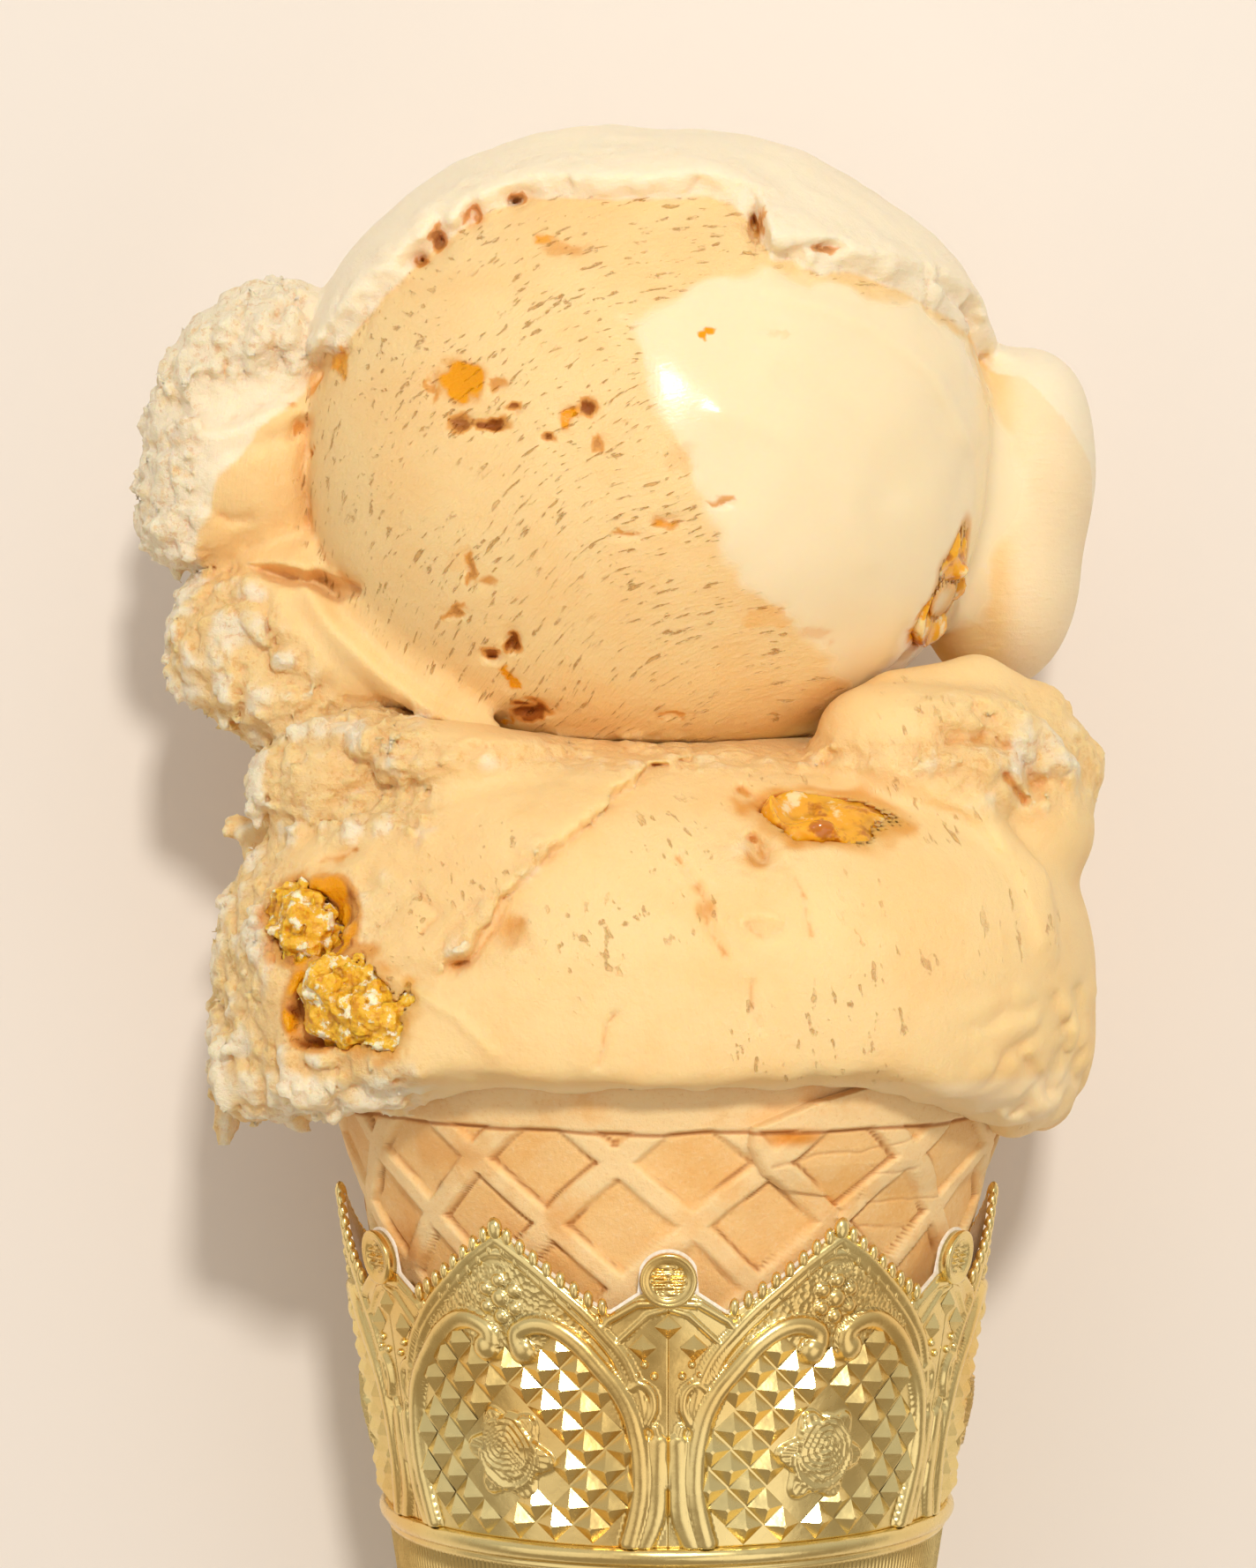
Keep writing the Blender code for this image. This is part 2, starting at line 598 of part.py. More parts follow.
def sleeve_radius(y):
    """Plain outer radius of the foil sleeve at a place along the cone."""
    if y >= SECOND_CORD_Y:
        return SLEEVE_REFERENCE_RADIUS + (y - SLEEVE_REFERENCE_Y) * SLEEVE_SLOPE
    start = sleeve_radius(SECOND_CORD_Y)
    part = (SECOND_CORD_Y - y) / (SECOND_CORD_Y - SLEEVE_TIP_Y)
    return start * (1.0 - part) ** TIP_TAPER_POWER


def sleeve_edge_y(angle):
    """Y of the sleeve's upper edge: arches with a round finial between each two."""
    sector = 360.0 / SECTORS
    from_finial = abs((angle + sector / 2.0) % sector - sector / 2.0)
    return float(np.interp(from_finial, *zip(*SLEEVE_EDGE)))


def add_foil_sleeve():
    """Make the foil sleeve: an arched edge, medallions, two cords and a fluted point."""
    sector = 360.0 / SECTORS
    half = [angle for angle, _ in SLEEVE_EDGE]
    offsets = half + [sector - angle for angle in reversed(half[1:-1])]
    angles = [i * sector + offset for i in range(SECTORS) for offset in offsets]

    def along(part, relief):
        def y_at(angle):
            edge = sleeve_edge_y(angle)
            return edge + (CORD_Y + CORD_RADIUS - edge) * part

        def radius_at(angle, y):
            middle = abs(math.cos(math.radians(angle * SECTORS / 2.0)))
            return sleeve_radius(y) + relief * (1.0 - middle)

        return ring_points(radius_at, angles, y_at)

    def level(y, proud=0.0, fluted=False):
        def radius_at(angle, place):
            flute = FLUTE_DEPTH * math.cos(math.radians(angle * FLUTES)) if fluted else 0.0
            return max(sleeve_radius(place) + proud + flute, SMALLEST_RADIUS)

        return ring_points(radius_at, angles, lambda angle: y)

    rings = [along(part, relief) for part, relief in MEDALLION_STATIONS]
    for y in (CORD_Y, SECOND_CORD_Y):
        rings.append(level(y, CORD_RADIUS))
        rings.append(level(y - CORD_RADIUS))
        if y == CORD_Y:
            rings.append(level(SECOND_CORD_Y + CORD_RADIUS))
    for y in FLUTE_STATIONS_Y:
        rings.append(level(y, 0.0, fluted=True))
    rings.append([(0.0, SLEEVE_TIP_Y, 0.0)])
    rings.append([(0.0, SLEEVE_TIP_Y + TIP_WALL, 0.0)])
    for y in FLUTE_STATIONS_Y[::-1] + (SECOND_CORD_Y,):
        rings.append(level(y, -FOIL, fluted=y < SECOND_CORD_Y))
    rings.append(ring_points(lambda angle, y: sleeve_radius(y) - FOIL, angles, sleeve_edge_y))
    return add_object("foil_sleeve", closed_wall("foil_sleeve", rings), "gold_foil")


def main():
    """Build every piece of the ice cream cone."""
    clear_scene()
    add_scoop("upper_scoop", upper_scoop_field, UPPER_BOUNDS, UPPER_TRIANGLES)
    add_scoop("lower_scoop", lower_scoop_field, LOWER_BOUNDS, LOWER_TRIANGLES)
    for name in CHUNKS:
        add_chunk(name)
    add_waffle_cone()
    add_foil_sleeve()


main()
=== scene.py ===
"""Dress the ice cream cone: two scoops of caramel ice cream in a rolled waffle cone.

The cone stands in an embossed gold foil sleeve and lies on its back on a pale floor.
Sizes are in millimetres round the cone's axis, which is AXIS_HEIGHT above the floor. X runs
to the right, Y from the cone's tip to the top of the ice cream, and Z up.
"""

from __future__ import annotations

import enum
import itertools
import logging
import math
from dataclasses import dataclass
from typing import Any, Callable, Sequence

import bmesh
import bpy
import numpy as np
from mathutils import Matrix, Vector


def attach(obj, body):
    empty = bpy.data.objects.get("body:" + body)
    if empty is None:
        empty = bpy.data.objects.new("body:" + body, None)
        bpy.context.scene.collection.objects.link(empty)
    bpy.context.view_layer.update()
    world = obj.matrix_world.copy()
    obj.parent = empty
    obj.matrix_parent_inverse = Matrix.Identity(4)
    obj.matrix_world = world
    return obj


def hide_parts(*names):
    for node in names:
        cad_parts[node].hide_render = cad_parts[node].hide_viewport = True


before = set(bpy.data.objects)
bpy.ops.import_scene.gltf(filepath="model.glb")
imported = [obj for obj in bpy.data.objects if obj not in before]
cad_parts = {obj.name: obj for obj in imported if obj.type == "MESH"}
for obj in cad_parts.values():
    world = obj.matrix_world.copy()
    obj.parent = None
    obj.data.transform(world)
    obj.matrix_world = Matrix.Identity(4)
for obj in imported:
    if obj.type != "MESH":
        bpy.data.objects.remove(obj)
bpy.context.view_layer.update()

LOG = logging.getLogger("cone")
MM = 0.001
AXIS_HEIGHT = 40.0
BODY = "root"
# The plain cone of the waffle, and that of the foil: a radius, its Y, and the growth with Y
WAFFLE_RADIUS, WAFFLE_RADIUS_Y, WAFFLE_SLOPE = 31.7, -21.0, 0.2586
FOIL_RADIUS, FOIL_RADIUS_Y, FOIL_SLOPE = 33.1, -22.0, 0.153
# Room left between two pieces that touch
CLEARANCE = 0.12

Point = Sequence[np.ndarray]
Triple = tuple[float, float, float]
Field = Callable[[Point], np.ndarray]


def linear(code: str) -> tuple[float, float, float, float]:
    """Turn an sRGB hex colour to linear values.

    Args:
        code: The colour as six hex digits.

    Returns:
        Red, green, blue and an alpha of 1.
    """
    parts = [int(code[i:i + 2], 16) / 255.0 for i in (0, 2, 4)]
    red, green, blue = (v / 12.92 if v <= 0.04045 else ((v + 0.055) / 1.055) ** 2.4
                        for v in parts)
    return red, green, blue, 1.0


def per_metre(size_mm: float) -> float:
    """Scale of a texture whose features have a size in millimetres."""
    return 1.0 / (size_mm * MM)


def add_node(tree: bpy.types.NodeTree, kind: str, settings: dict[str, Any] | None = None,
             links: dict[Any, Any] | None = None, out: Any = 0) -> bpy.types.NodeSocket:
    """Add a node with its settings, input values and links.

    Args:
        tree: The tree that gets the node.
        kind: The node's type name.
        settings: Values of the node's own properties.
        links: For each input, by name or number, a value or the socket that feeds it.
        out: The output that is wanted, by name or number.

    Returns:
        That output of the new node.
    """
    node = tree.nodes.new(kind)
    for name, value in (settings or {}).items():
        setattr(node, name, value)
    for name, value in (links or {}).items():
        if isinstance(value, bpy.types.NodeSocket):
            tree.links.new(value, node.inputs[name])
        else:
            node.inputs[name].default_value = value
    return node.outputs[out] if len(node.outputs) else None


# Shapes as distance fields


def rise(value: Any, start: float, end: float) -> Any:
    """Go smoothly from 0 at the start to 1 at the end."""
    t = np.clip((value - start) / (end - start), 0.0, 1.0)
    return t * t * (3.0 - 2.0 * t)


def union(first: np.ndarray, second: np.ndarray, blend: float) -> np.ndarray:
    """Join two fields with a fillet of about the blend's size."""
    overlap = np.maximum(blend - np.abs(first - second), 0.0) / blend
    return np.minimum(first, second) - overlap * overlap * blend * 0.25


def cut(body: np.ndarray, cutter: np.ndarray, blend: float) -> np.ndarray:
    """Take the cutter's space out of a field, with a rounded edge."""
    return -union(-body, cutter, blend)


def noise(point: Point, scale: float, seed: int) -> np.ndarray:
    """Smooth lumpy noise from -1 to 1, which repeats after 64 lumps.

    Args:
        point: X, Y and Z of the places.
        scale: Size of the lumps in millimetres.
        seed: Number that picks the pattern.

    Returns:
        The noise at each place.
    """
    table = np.random.RandomState(seed).uniform(-1.0, 1.0, 64 ** 3).astype(np.float32)
    near, far, ease = [], [], []
    for axis, step in zip(point, (4096, 64, 1)):
        scaled = np.asarray(axis, dtype=np.float32) / np.float32(scale)
        base = np.floor(scaled)
        t = scaled - base
        ease.append(t * t * (3.0 - 2.0 * t))
        cell = base.astype(np.int32) & 63
        near.append(cell * step)
        far.append(((cell + 1) & 63) * step)
    value = []
    for i, j in itertools.product((near[0], far[0]), (near[1], far[1])):
        plane = i + j
        low = table[plane + near[2]]
        value.append(low + (table[plane + far[2]] - low) * ease[2])
    left = value[0] + (value[1] - value[0]) * ease[1]
    right = value[2] + (value[3] - value[2]) * ease[1]
    return left + (right - left) * ease[0]


def crumbs(point: Point, scale: float, seed: int) -> np.ndarray:
    """Rounded lumps with sharp creases between them, from 0 in a crease to about 1."""
    total = np.abs(noise(point, scale, seed))
    total = total + 0.5 * np.abs(noise(point, scale * 0.47, seed + 1))
    return total + 0.25 * np.abs(noise(point, scale * 0.22, seed + 2))


@dataclass(frozen=True)
class Lump:
    """An ellipsoid, or a squarer lump of a higher power, turned about Z."""

    centre: Triple
    radii: Triple
    turn: float = 0.0
    power: float = 2.3

    def field(self, point: Point, margin: float = 0.0) -> np.ndarray:
        """Distance, near the surface, to the lump.

        Args:
            point: X, Y and Z of the places.
            margin: How much larger than its own size the lump is taken.

        Returns:
            The distance at each place, less than 0 inside.
        """
        angle = math.radians(self.turn)
        dx, dy, dz = (axis - value for axis, value in zip(point, self.centre))
        radii = [radius + margin for radius in self.radii]
        parts = [np.abs(dx * math.cos(angle) + dy * math.sin(angle)) / radii[0],
                 np.abs(dy * math.cos(angle) - dx * math.sin(angle)) / radii[1],
                 np.abs(dz) / radii[2]]
        size = np.maximum(sum(p ** self.power for p in parts), 1e-9) ** (1.0 / self.power)
        slope = np.sqrt(sum((p ** (self.power - 1.0) / radius) ** 2
                            for p, radius in zip(parts, radii)))
        slope = np.maximum(slope / size ** (self.power - 1.0), 1e-6)
        return (size - 1.0) / slope


def lumps(point: Point, pieces: Sequence[Lump], blend: float) -> np.ndarray:
    """Distance to lumps that are melted into one another."""
    result = pieces[0].field(point)
    for piece in pieces[1:]:
        result = union(result, piece.field(point), blend)
    return result


def bar(point: Point, stations: Sequence[Sequence[float]], blend: float = 1.0) -> np.ndarray:
    """Distance to a round bar through stations of x, y, z and radius."""
    result = None
    for start, end in zip(stations, stations[1:]):
        step = np.array(end[:3]) - np.array(start[:3])
        delta = [axis - value for axis, value in zip(point, start[:3])]
        along = np.clip(sum(d * s for d, s in zip(delta, step)) / float(step @ step), 0.0, 1.0)
        gap = np.sqrt(sum((d - along * s) ** 2 for d, s in zip(delta, step)))
        piece = gap - (start[3] + (end[3] - start[3]) * along)
        result = piece if result is None else union(result, piece, blend)
    return result


def path_gap(x: np.ndarray, y: np.ndarray, path: Sequence[tuple[float, float]]) -> np.ndarray:
    """Distance, in a plane, to a path of straight runs."""
    nearest = np.full(np.shape(x), 1e9)
    for (x0, y0), (x1, y1) in zip(path, path[1:]):
        length = (x1 - x0) ** 2 + (y1 - y0) ** 2
        t = np.clip(((x - x0) * (x1 - x0) + (y - y0) * (y1 - y0)) / length, 0.0, 1.0)
        nearest = np.minimum(nearest, np.hypot(x - x0 - t * (x1 - x0), y - y0 - t * (y1 - y0)))
    return nearest


def spot(point: Point, centre: Sequence[float], size: float) -> np.ndarray:
    """Round soft patch that is 1 at its centre and fades over its size."""
    gap = sum((axis - value) ** 2 for axis, value in zip(point, centre))
    return np.exp(-gap / (size * size))


def in_scene(points: np.ndarray) -> np.ndarray:
    """Points round the axis, in millimetres, as metres above the floor."""
    return (points + np.array((0.0, 0.0, AXIS_HEIGHT))) * MM


def to_mesh(name: str, points: np.ndarray, faces: np.ndarray) -> bpy.types.Mesh:
    """Make a mesh from points round the axis, in millimetres.

    Args:
        name: The mesh's name.
        points: One row of X, Y and Z for each point.
        faces: One row of point numbers for each face, all of one length.

    Returns:
        The mesh, in metres above the floor.
    """
    mesh = bpy.data.meshes.new(name)
    count, sides = faces.shape
    mesh.vertices.add(len(points))
    mesh.vertices.foreach_set("co", in_scene(points).astype(np.float32).ravel())
    mesh.loops.add(count * sides)
    mesh.loops.foreach_set("vertex_index", faces.astype(np.int32).ravel())
    mesh.polygons.add(count)
    mesh.polygons.foreach_set("loop_start", np.arange(count, dtype=np.int32) * sides)
    mesh.update(calc_edges=True)
    mesh.validate()
    return mesh


def places_of(mesh: bpy.types.Mesh) -> np.ndarray:
    """Points of a mesh as rows of X, Y and Z round the axis, in millimetres."""
    flat = np.empty(len(mesh.vertices) * 3)
    mesh.vertices.foreach_get("co", flat)
    return flat.reshape(-1, 3) / MM - np.array((0.0, 0.0, AXIS_HEIGHT))


def set_value(mesh: bpy.types.Mesh, name: str, values: np.ndarray) -> None:
    """Store one number, or one vector, for each point of a mesh.

    Args:
        mesh: The mesh.
        name: The attribute's name, which the material reads.
        values: A number or a row of three for each point.
    """
    vector = values.ndim == 2
    layer = mesh.attributes.new(name, "FLOAT_VECTOR" if vector else "FLOAT", "POINT")
    layer.data.foreach_set("vector" if vector else "value", values.astype(np.float32).ravel())


def add_object(name: str, mesh: bpy.types.Mesh, material: bpy.types.Material,
               smooth: bool = True) -> bpy.types.Object:
    """Link a finished mesh to the scene under its name."""
    mesh.materials.clear()
    mesh.materials.append(material)
    mesh.polygons.foreach_set("use_smooth", np.full(len(mesh.polygons), smooth))
    item = bpy.data.objects.new(name, mesh)
    bpy.context.scene.collection.objects.link(item)
    return item


def applied(item: bpy.types.Object) -> bpy.types.Object:
    """Turn an object's modifiers into plain mesh and remove them."""
    graph = bpy.context.evaluated_depsgraph_get()
    mesh = bpy.data.meshes.new_from_object(item.evaluated_get(graph))
    item.modifiers.clear()
    old = item.data
    item.data = mesh
    bpy.data.meshes.remove(old)
    return item


@dataclass
class Sculptor:
    """Turns a distance field into a closed mesh of small even faces."""

    step: float
    low: Triple
    high: Triple
    band: float = 2.8
    coarseness: int = 4

    def sample(self, field: Field) -> np.ndarray:
        """Values on the fine grid, worked out only near the surface."""
        block = self.step * self.coarseness
        axes = [np.arange(a, b + block, block, dtype=np.float32)
                for a, b in zip(self.low, self.high)]
        rough = field(np.meshgrid(*axes, indexing="ij"))
        near = np.abs(rough) < self.band
        cells = tuple(n - 1 for n in rough.shape)
        active = np.zeros(cells, dtype=bool)
        for a, b, c in itertools.product((0, 1), repeat=3):
            active |= near[a:a + cells[0], b:b + cells[1], c:c + cells[2]]
        value = np.where(rough[:-1, :-1, :-1] < 0.0, -9.0, 9.0).astype(np.float32)
        for axis in range(3):
            value = np.repeat(value, self.coarseness, axis)
            active = np.repeat(active, self.coarseness, axis)
        index = np.nonzero(active)
        value[index] = field([np.float32(low) + i.astype(np.float32) * np.float32(self.step)
                              for low, i in zip(self.low, index)])
        return value

    def surface(self, field: Field) -> tuple[np.ndarray, np.ndarray]:
        """Points and four-sided faces where the field is zero, facing outwards."""
        value = self.sample(field)
        inside = value < 0.0
        cells = tuple(n - 1 for n in inside.shape)
        count = np.zeros(cells, dtype=np.int8)
        corners = list(itertools.product((0, 1), repeat=3))
        for a, b, c in corners:
            count += inside[a:a + cells[0], b:b + cells[1], c:c + cells[2]]
        index = np.nonzero((count > 0) & (count < 8))
        base = np.stack(index, 1)
        total = np.zeros(base.shape)
        hits = np.zeros(len(base))
        for first in corners:
            for axis in range(3):
                if first[axis]:
                    continue
                second = tuple(1 if i == axis else v for i, v in enumerate(first))
                va = value[tuple(i + d for i, d in zip(index, first))]
                vb = value[tuple(i + d for i, d in zip(index, second))]
                crossing = (va < 0.0) != (vb < 0.0)
                share = np.where(crossing, va / np.where(crossing, va - vb, 1.0), 0.0)
                place = base + np.array(first, dtype=float)
                place[:, axis] += share
                total[crossing] += place[crossing]
                hits += crossing
        points = np.array(self.low) + self.step * total / hits[:, None]
        number = np.full(cells, -1, dtype=np.int64)
        number[index] = np.arange(len(base))
        faces = [self.faces_along(axis, inside, number) for axis in range(3)]
        return points, np.concatenate(faces)

    @staticmethod
    def faces_along(axis: int, inside: np.ndarray, number: np.ndarray) -> np.ndarray:
        """Faces that cross the grid's edges along one axis."""
        one, two = (axis + 1) % 3, (axis + 2) % 3
        body = [slice(1, -1)] * 3
        body[axis] = slice(0, -1)
        ahead = list(body)
        ahead[axis] = slice(1, None)
        a, b = inside[tuple(body)], inside[tuple(ahead)]
        edge = np.nonzero(a != b)
        place = [e + (0 if i == axis else 1) for i, e in enumerate(edge)]
        leaves = a[edge]
        ring = []
        for d_one, d_two in ((-1, -1), (0, -1), (0, 0), (-1, 0)):
            shifted = list(place)
            shifted[one] = place[one] + d_one
            shifted[two] = place[two] + d_two
            ring.append(number[tuple(shifted)])
        faces = np.stack(ring, 1)
        faces[~leaves] = faces[~leaves][:, ::-1]
        return faces[(faces >= 0).all(axis=1)]


def largest_island(points: np.ndarray, faces: np.ndarray) -> tuple[np.ndarray, np.ndarray]:
    """Keep the one largest body of a mesh that may hold loose scraps."""
    label = np.arange(len(points))
    while True:
        low = label[faces].min(axis=1)
        new = label.copy()
        for column in range(faces.shape[1]):
            np.minimum.at(new, faces[:, column], low)
        new = new[new]
        if (new == label).all():
            break
        label = new
    kept = label == np.bincount(label).argmax()
    renumbered = np.cumsum(kept) - 1
    chosen = kept[faces[:, 0]]
    return points[kept], renumbered[faces[chosen]]


def thin_back(mesh: bpy.types.Mesh, triangles: int, spare: np.ndarray,
              firmness: float) -> bpy.types.Mesh:
    """Reduce a mesh to a number of triangles, most of all where it matters least.

    Args:
        mesh: The mesh, which is used up.
        triangles: How many triangles are left.
        spare: For each point, 0 where detail matters and 1 where it can go.
        firmness: How firmly the detail is kept.

    Returns:
        The reduced mesh.
    """
    # In millimetres, because the modifier takes the tiny errors of a mesh in metres for none
    mesh.transform(Matrix.Scale(1.0 / MM, 4))
    carrier = bpy.data.objects.new("carrier", mesh)
    bpy.context.scene.collection.objects.link(carrier)
    group = carrier.vertex_groups.new(name="thin")
    for level in range(5):
        chosen = np.nonzero(np.round(spare * 4.0) == level)[0]
        # Points of no weight would not be thinned at all
        group.add(chosen.tolist(), 0.2 + 0.2 * level, "REPLACE")
    modifier = carrier.modifiers.new("Decimate", "DECIMATE")
    full = sum(len(face.vertices) - 2 for face in mesh.polygons)
    modifier.ratio = min(1.0, triangles / full)
    modifier.vertex_group = "thin"
    modifier.vertex_group_factor = firmness
    applied(carrier)
    result = carrier.data
    bpy.data.objects.remove(carrier)
    result.transform(Matrix.Scale(MM, 4))
    return result


# Finishes


@dataclass(frozen=True)
class Finish:
    """A named material and the record's slot that it belongs to."""

    name: str
    slot: str

    def start(self, values: dict[str, Any]) -> tuple[bpy.types.Material, bpy.types.NodeTree]:
        """Make the material and set plain values on its principled shader."""
        material = bpy.data.materials.new(self.name)
        material.use_nodes = True
        for name, value in values.items():
            material.node_tree.nodes["Principled BSDF"].inputs[name].default_value = value
        return material, material.node_tree

    @staticmethod
    def fed(material: bpy.types.Material, sockets: dict[str, bpy.types.NodeSocket]
            ) -> bpy.types.Material:
        """Feed sockets to the principled shader, and hand the material back."""
        tree = material.node_tree
        for name, socket in sockets.items():
            tree.links.new(socket, tree.nodes["Principled BSDF"].inputs[name])
        return material

    @staticmethod
    def layers(tree: bpy.types.NodeTree, base: Any, rows: Sequence[tuple]
               ) -> bpy.types.NodeSocket:
        """Lay colours over one another.

        Args:
            tree: The material's tree.
            base: The colour at the bottom.
            rows: For each layer, the value that places it, the values where it starts and is
                fullest, how far it covers what is below, and its sRGB colour.

        Returns:
            The colour on top.
        """
        for value, start, full, cover, code in rows:
            share = add_node(tree, "ShaderNodeMapRange", {"interpolation_type": "SMOOTHSTEP"},
                             {0: value, 1: start, 2: full, 4: cover})
            base = add_node(tree, "ShaderNodeMix", {"data_type": "RGBA"},
                            {0: share, 6: base, 7: linear(code)}, out=2)
        return base


@dataclass(frozen=True)
class IceCream(Finish):
    """Churned dairy ice cream: dense, pale and light-scattering, so shadows glow warm."""

    name: str = "caramel_ice_cream"
    slot: str = "ice_cream"
    body: str = "f8d598"
    warm: str = "f6cc8b"
    pale: str = "fcedd2"
    # Deep orange: painted shade in the creases between torn crumbs and in the pits
    deep: str = "d8963c"
    # Dark syrup brown: caramel stain, and painted shade in openings, grooves, tears and hollows
    syrup_and_shade: str = "9c5310"
    amber: str = "f0a008"

    def material(self) -> bpy.types.Material:
        """Build the material."""
        material, tree = self.start({"IOR": 1.36, "Subsurface Weight": 0.5,
                                     "Subsurface Radius": (1.0, 0.68, 0.34),
                                     "Subsurface Scale": 2.0 * MM})
        place = add_node(tree, "ShaderNodeTexCoord", out="Object")
        melt, torn, stain_and_shade, amber, relief, pores = (
            add_node(tree, "ShaderNodeAttribute", {"attribute_name": name}, out="Fac")
            for name in ("melt", "torn", "stain_and_shade", "amber", "relief", "pores"))
        stroke = add_node(tree, "ShaderNodeAttribute", {"attribute_name": "stroke"}, out="Vector")
        # Soft marbling of caramel, 9 mm across; fine crystals and crumbs, 1 mm across; and the
        # drag lines and short tears of the scoop, long and thin along the stroke
        marbling, crumb, grain = (
            add_node(tree, "ShaderNodeTexNoise", {},
                     {"Vector": where, "Scale": scale, "Detail": detail, "Roughness": rough})
            for where, scale, detail, rough in (
                (place, per_metre(9.0), 4.0, 0.55), (place, per_metre(1.0), 5.0, 0.7),
                (stroke, 1.0, 2.5, 0.55)))
        # The tears' brown and the pits' deep colour below are painted shade in these small hollows
        tear, gaps, pit_shade = (
            add_node(tree, "ShaderNodeMapRange", {"interpolation_type": "SMOOTHSTEP"},
                     {0: value, 1: start, 2: full})
            for value, start, full in ((grain, 0.6, 0.68), (crumb, 0.42, 0.56),
                                       (crumb, 0.48, 0.36)))
        for share in (gaps, pores):
            tear = add_node(tree, "ShaderNodeMath", {"operation": "MULTIPLY"}, {0: tear, 1: share})
        pit_shade = add_node(tree, "ShaderNodeMath", {"operation": "MULTIPLY"}, {0: pit_shade, 1: torn})
        colour = self.layers(tree, linear(self.body), (
            (marbling, 0.4, 0.68, 0.8, self.warm), (relief, 0.1, 1.0, 0.8, self.pale),
            # Painted shade: the deep colour in the creases and pits, and the brown of the tears
            (relief, -0.05, -1.1, 0.55, self.deep), (tear, 0.0, 1.0, 0.62, "cd9444"),
            (pit_shade, 0.0, 1.0, 0.35, self.deep), (melt, 0.0, 1.0, 0.9, "fae5bd"),
            # Caramel stain round chunks and bits, and painted shade in openings, grooves, tears
            # and hollows
            (stain_and_shade, 0.04, 0.5, 0.75, "dd8f22"), (stain_and_shade, 0.5, 1.0, 1.0, self.syrup_and_shade),
            (amber, 0.2, 0.8, 1.0, self.amber)))
        gloss = add_node(tree, "ShaderNodeMath", {"operation": "MAXIMUM"}, {0: melt, 1: amber})
        gloss = add_node(tree, "ShaderNodeMapRange", {}, {0: gloss, 3: 0.52, 4: 0.2})
        rough = add_node(tree, "ShaderNodeMapRange", {}, {0: torn, 3: 0.34, 4: 1.2})
        height = add_node(tree, "ShaderNodeMath", {"operation": "MULTIPLY"}, {0: crumb, 1: rough})
        height = add_node(tree, "ShaderNodeMath", {"operation": "SUBTRACT"}, {0: height, 1: tear})
        height = add_node(tree, "ShaderNodeMath", {"operation": "MULTIPLY_ADD"},
                          {0: grain, 1: 0.25, 2: height})
        wet = add_node(tree, "ShaderNodeMapRange", {}, {0: melt, 3: 1.0, 4: 0.12})
        height = add_node(tree, "ShaderNodeMath", {"operation": "MULTIPLY"}, {0: height, 1: wet})
        bump = add_node(tree, "ShaderNodeBump", {},
                        {"Height": height, "Strength": 0.85, "Distance": 0.55 * MM})
        return self.fed(material, {"Base Color": colour, "Roughness": gloss, "Normal": bump})


@dataclass(frozen=True)
class Caramel(Finish):
    """Boiled sugar caramel: clear amber and wet, so edges glow and tops glint."""

    name: str = "soft_caramel"
    slot: str = "caramel"

    def material(self) -> bpy.types.Material:
        """Build the material."""
        material, tree = self.start({"Roughness": 0.15, "IOR": 1.47, "Subsurface Weight": 0.6,
                                     "Subsurface Radius": (1.0, 0.45, 0.1),
                                     "Subsurface Scale": 2.0 * MM, "Coat Weight": 0.5,
                                     "Coat Roughness": 0.08})
        place = add_node(tree, "ShaderNodeTexCoord", out="Object")
        cloud = add_node(tree, "ShaderNodeTexNoise", {},
                         {"Vector": place, "Scale": per_metre(3.2), "Detail": 4.0,
                          "Roughness": 0.6})
        relief = add_node(tree, "ShaderNodeAttribute", {"attribute_name": "relief"}, out="Fac")
        colour = self.layers(tree, linear("f2ac1e"), (
            # The dark brown where the relief sinks is painted shade in the creases
            (cloud, 0.49, 0.38, 0.9, "b8690f"), (relief, -0.1, -0.5, 0.35, "80440f"),
            (cloud, 0.55, 0.63, 0.9, "f9deaa")))
        bump = add_node(tree, "ShaderNodeBump", {},
                        {"Height": cloud, "Strength": 0.45, "Distance": 0.4 * MM})
        return self.fed(material, {"Base Color": colour, "Normal": bump})


@dataclass(frozen=True)
class Honeycomb(Finish):
    """Aerated toffee: a golden crumb of burst bubbles and pale sugar, with painted shade in its
    hollows and bubble pits.
    """

    name: str = "honeycomb_toffee"
    slot: str = "honeycomb"

    def material(self) -> bpy.types.Material:
        """Build the material."""
        material, tree = self.start({"Roughness": 0.38, "IOR": 1.5, "Subsurface Weight": 0.45,
                                     "Subsurface Radius": (1.0, 0.55, 0.12),
                                     "Subsurface Scale": 1.5 * MM})
        place = add_node(tree, "ShaderNodeTexCoord", out="Object")
        bubble = add_node(tree, "ShaderNodeTexVoronoi", {},
                          {"Vector": place, "Scale": per_metre(0.9)}, out="Distance")
        cloud = add_node(tree, "ShaderNodeTexNoise", {},
                         {"Vector": place, "Scale": per_metre(1.8), "Detail": 5.0,
                          "Roughness": 0.65})
        relief = add_node(tree, "ShaderNodeAttribute", {"attribute_name": "relief"}, out="Fac")
        colour = self.layers(tree, linear("f4bb2c"), (
            # Painted shade: the brown where the relief sinks into hollows, and the darker middles
            # of the bubble pits
            (cloud, 0.48, 0.38, 0.85, "d98f12"), (relief, -0.05, -0.5, 0.65, "9a560e"),
            (bubble, 0.25, 0.05, 0.25, "b8760f"), (cloud, 0.53, 0.6, 0.95, "fdf0ca")))
        height = add_node(tree, "ShaderNodeMath", {"operation": "ADD"}, {0: bubble, 1: cloud})
        bump = add_node(tree, "ShaderNodeBump", {},
                        {"Height": height, "Strength": 0.9, "Distance": 0.5 * MM})
        return self.fed(material, {"Base Color": colour, "Normal": bump})


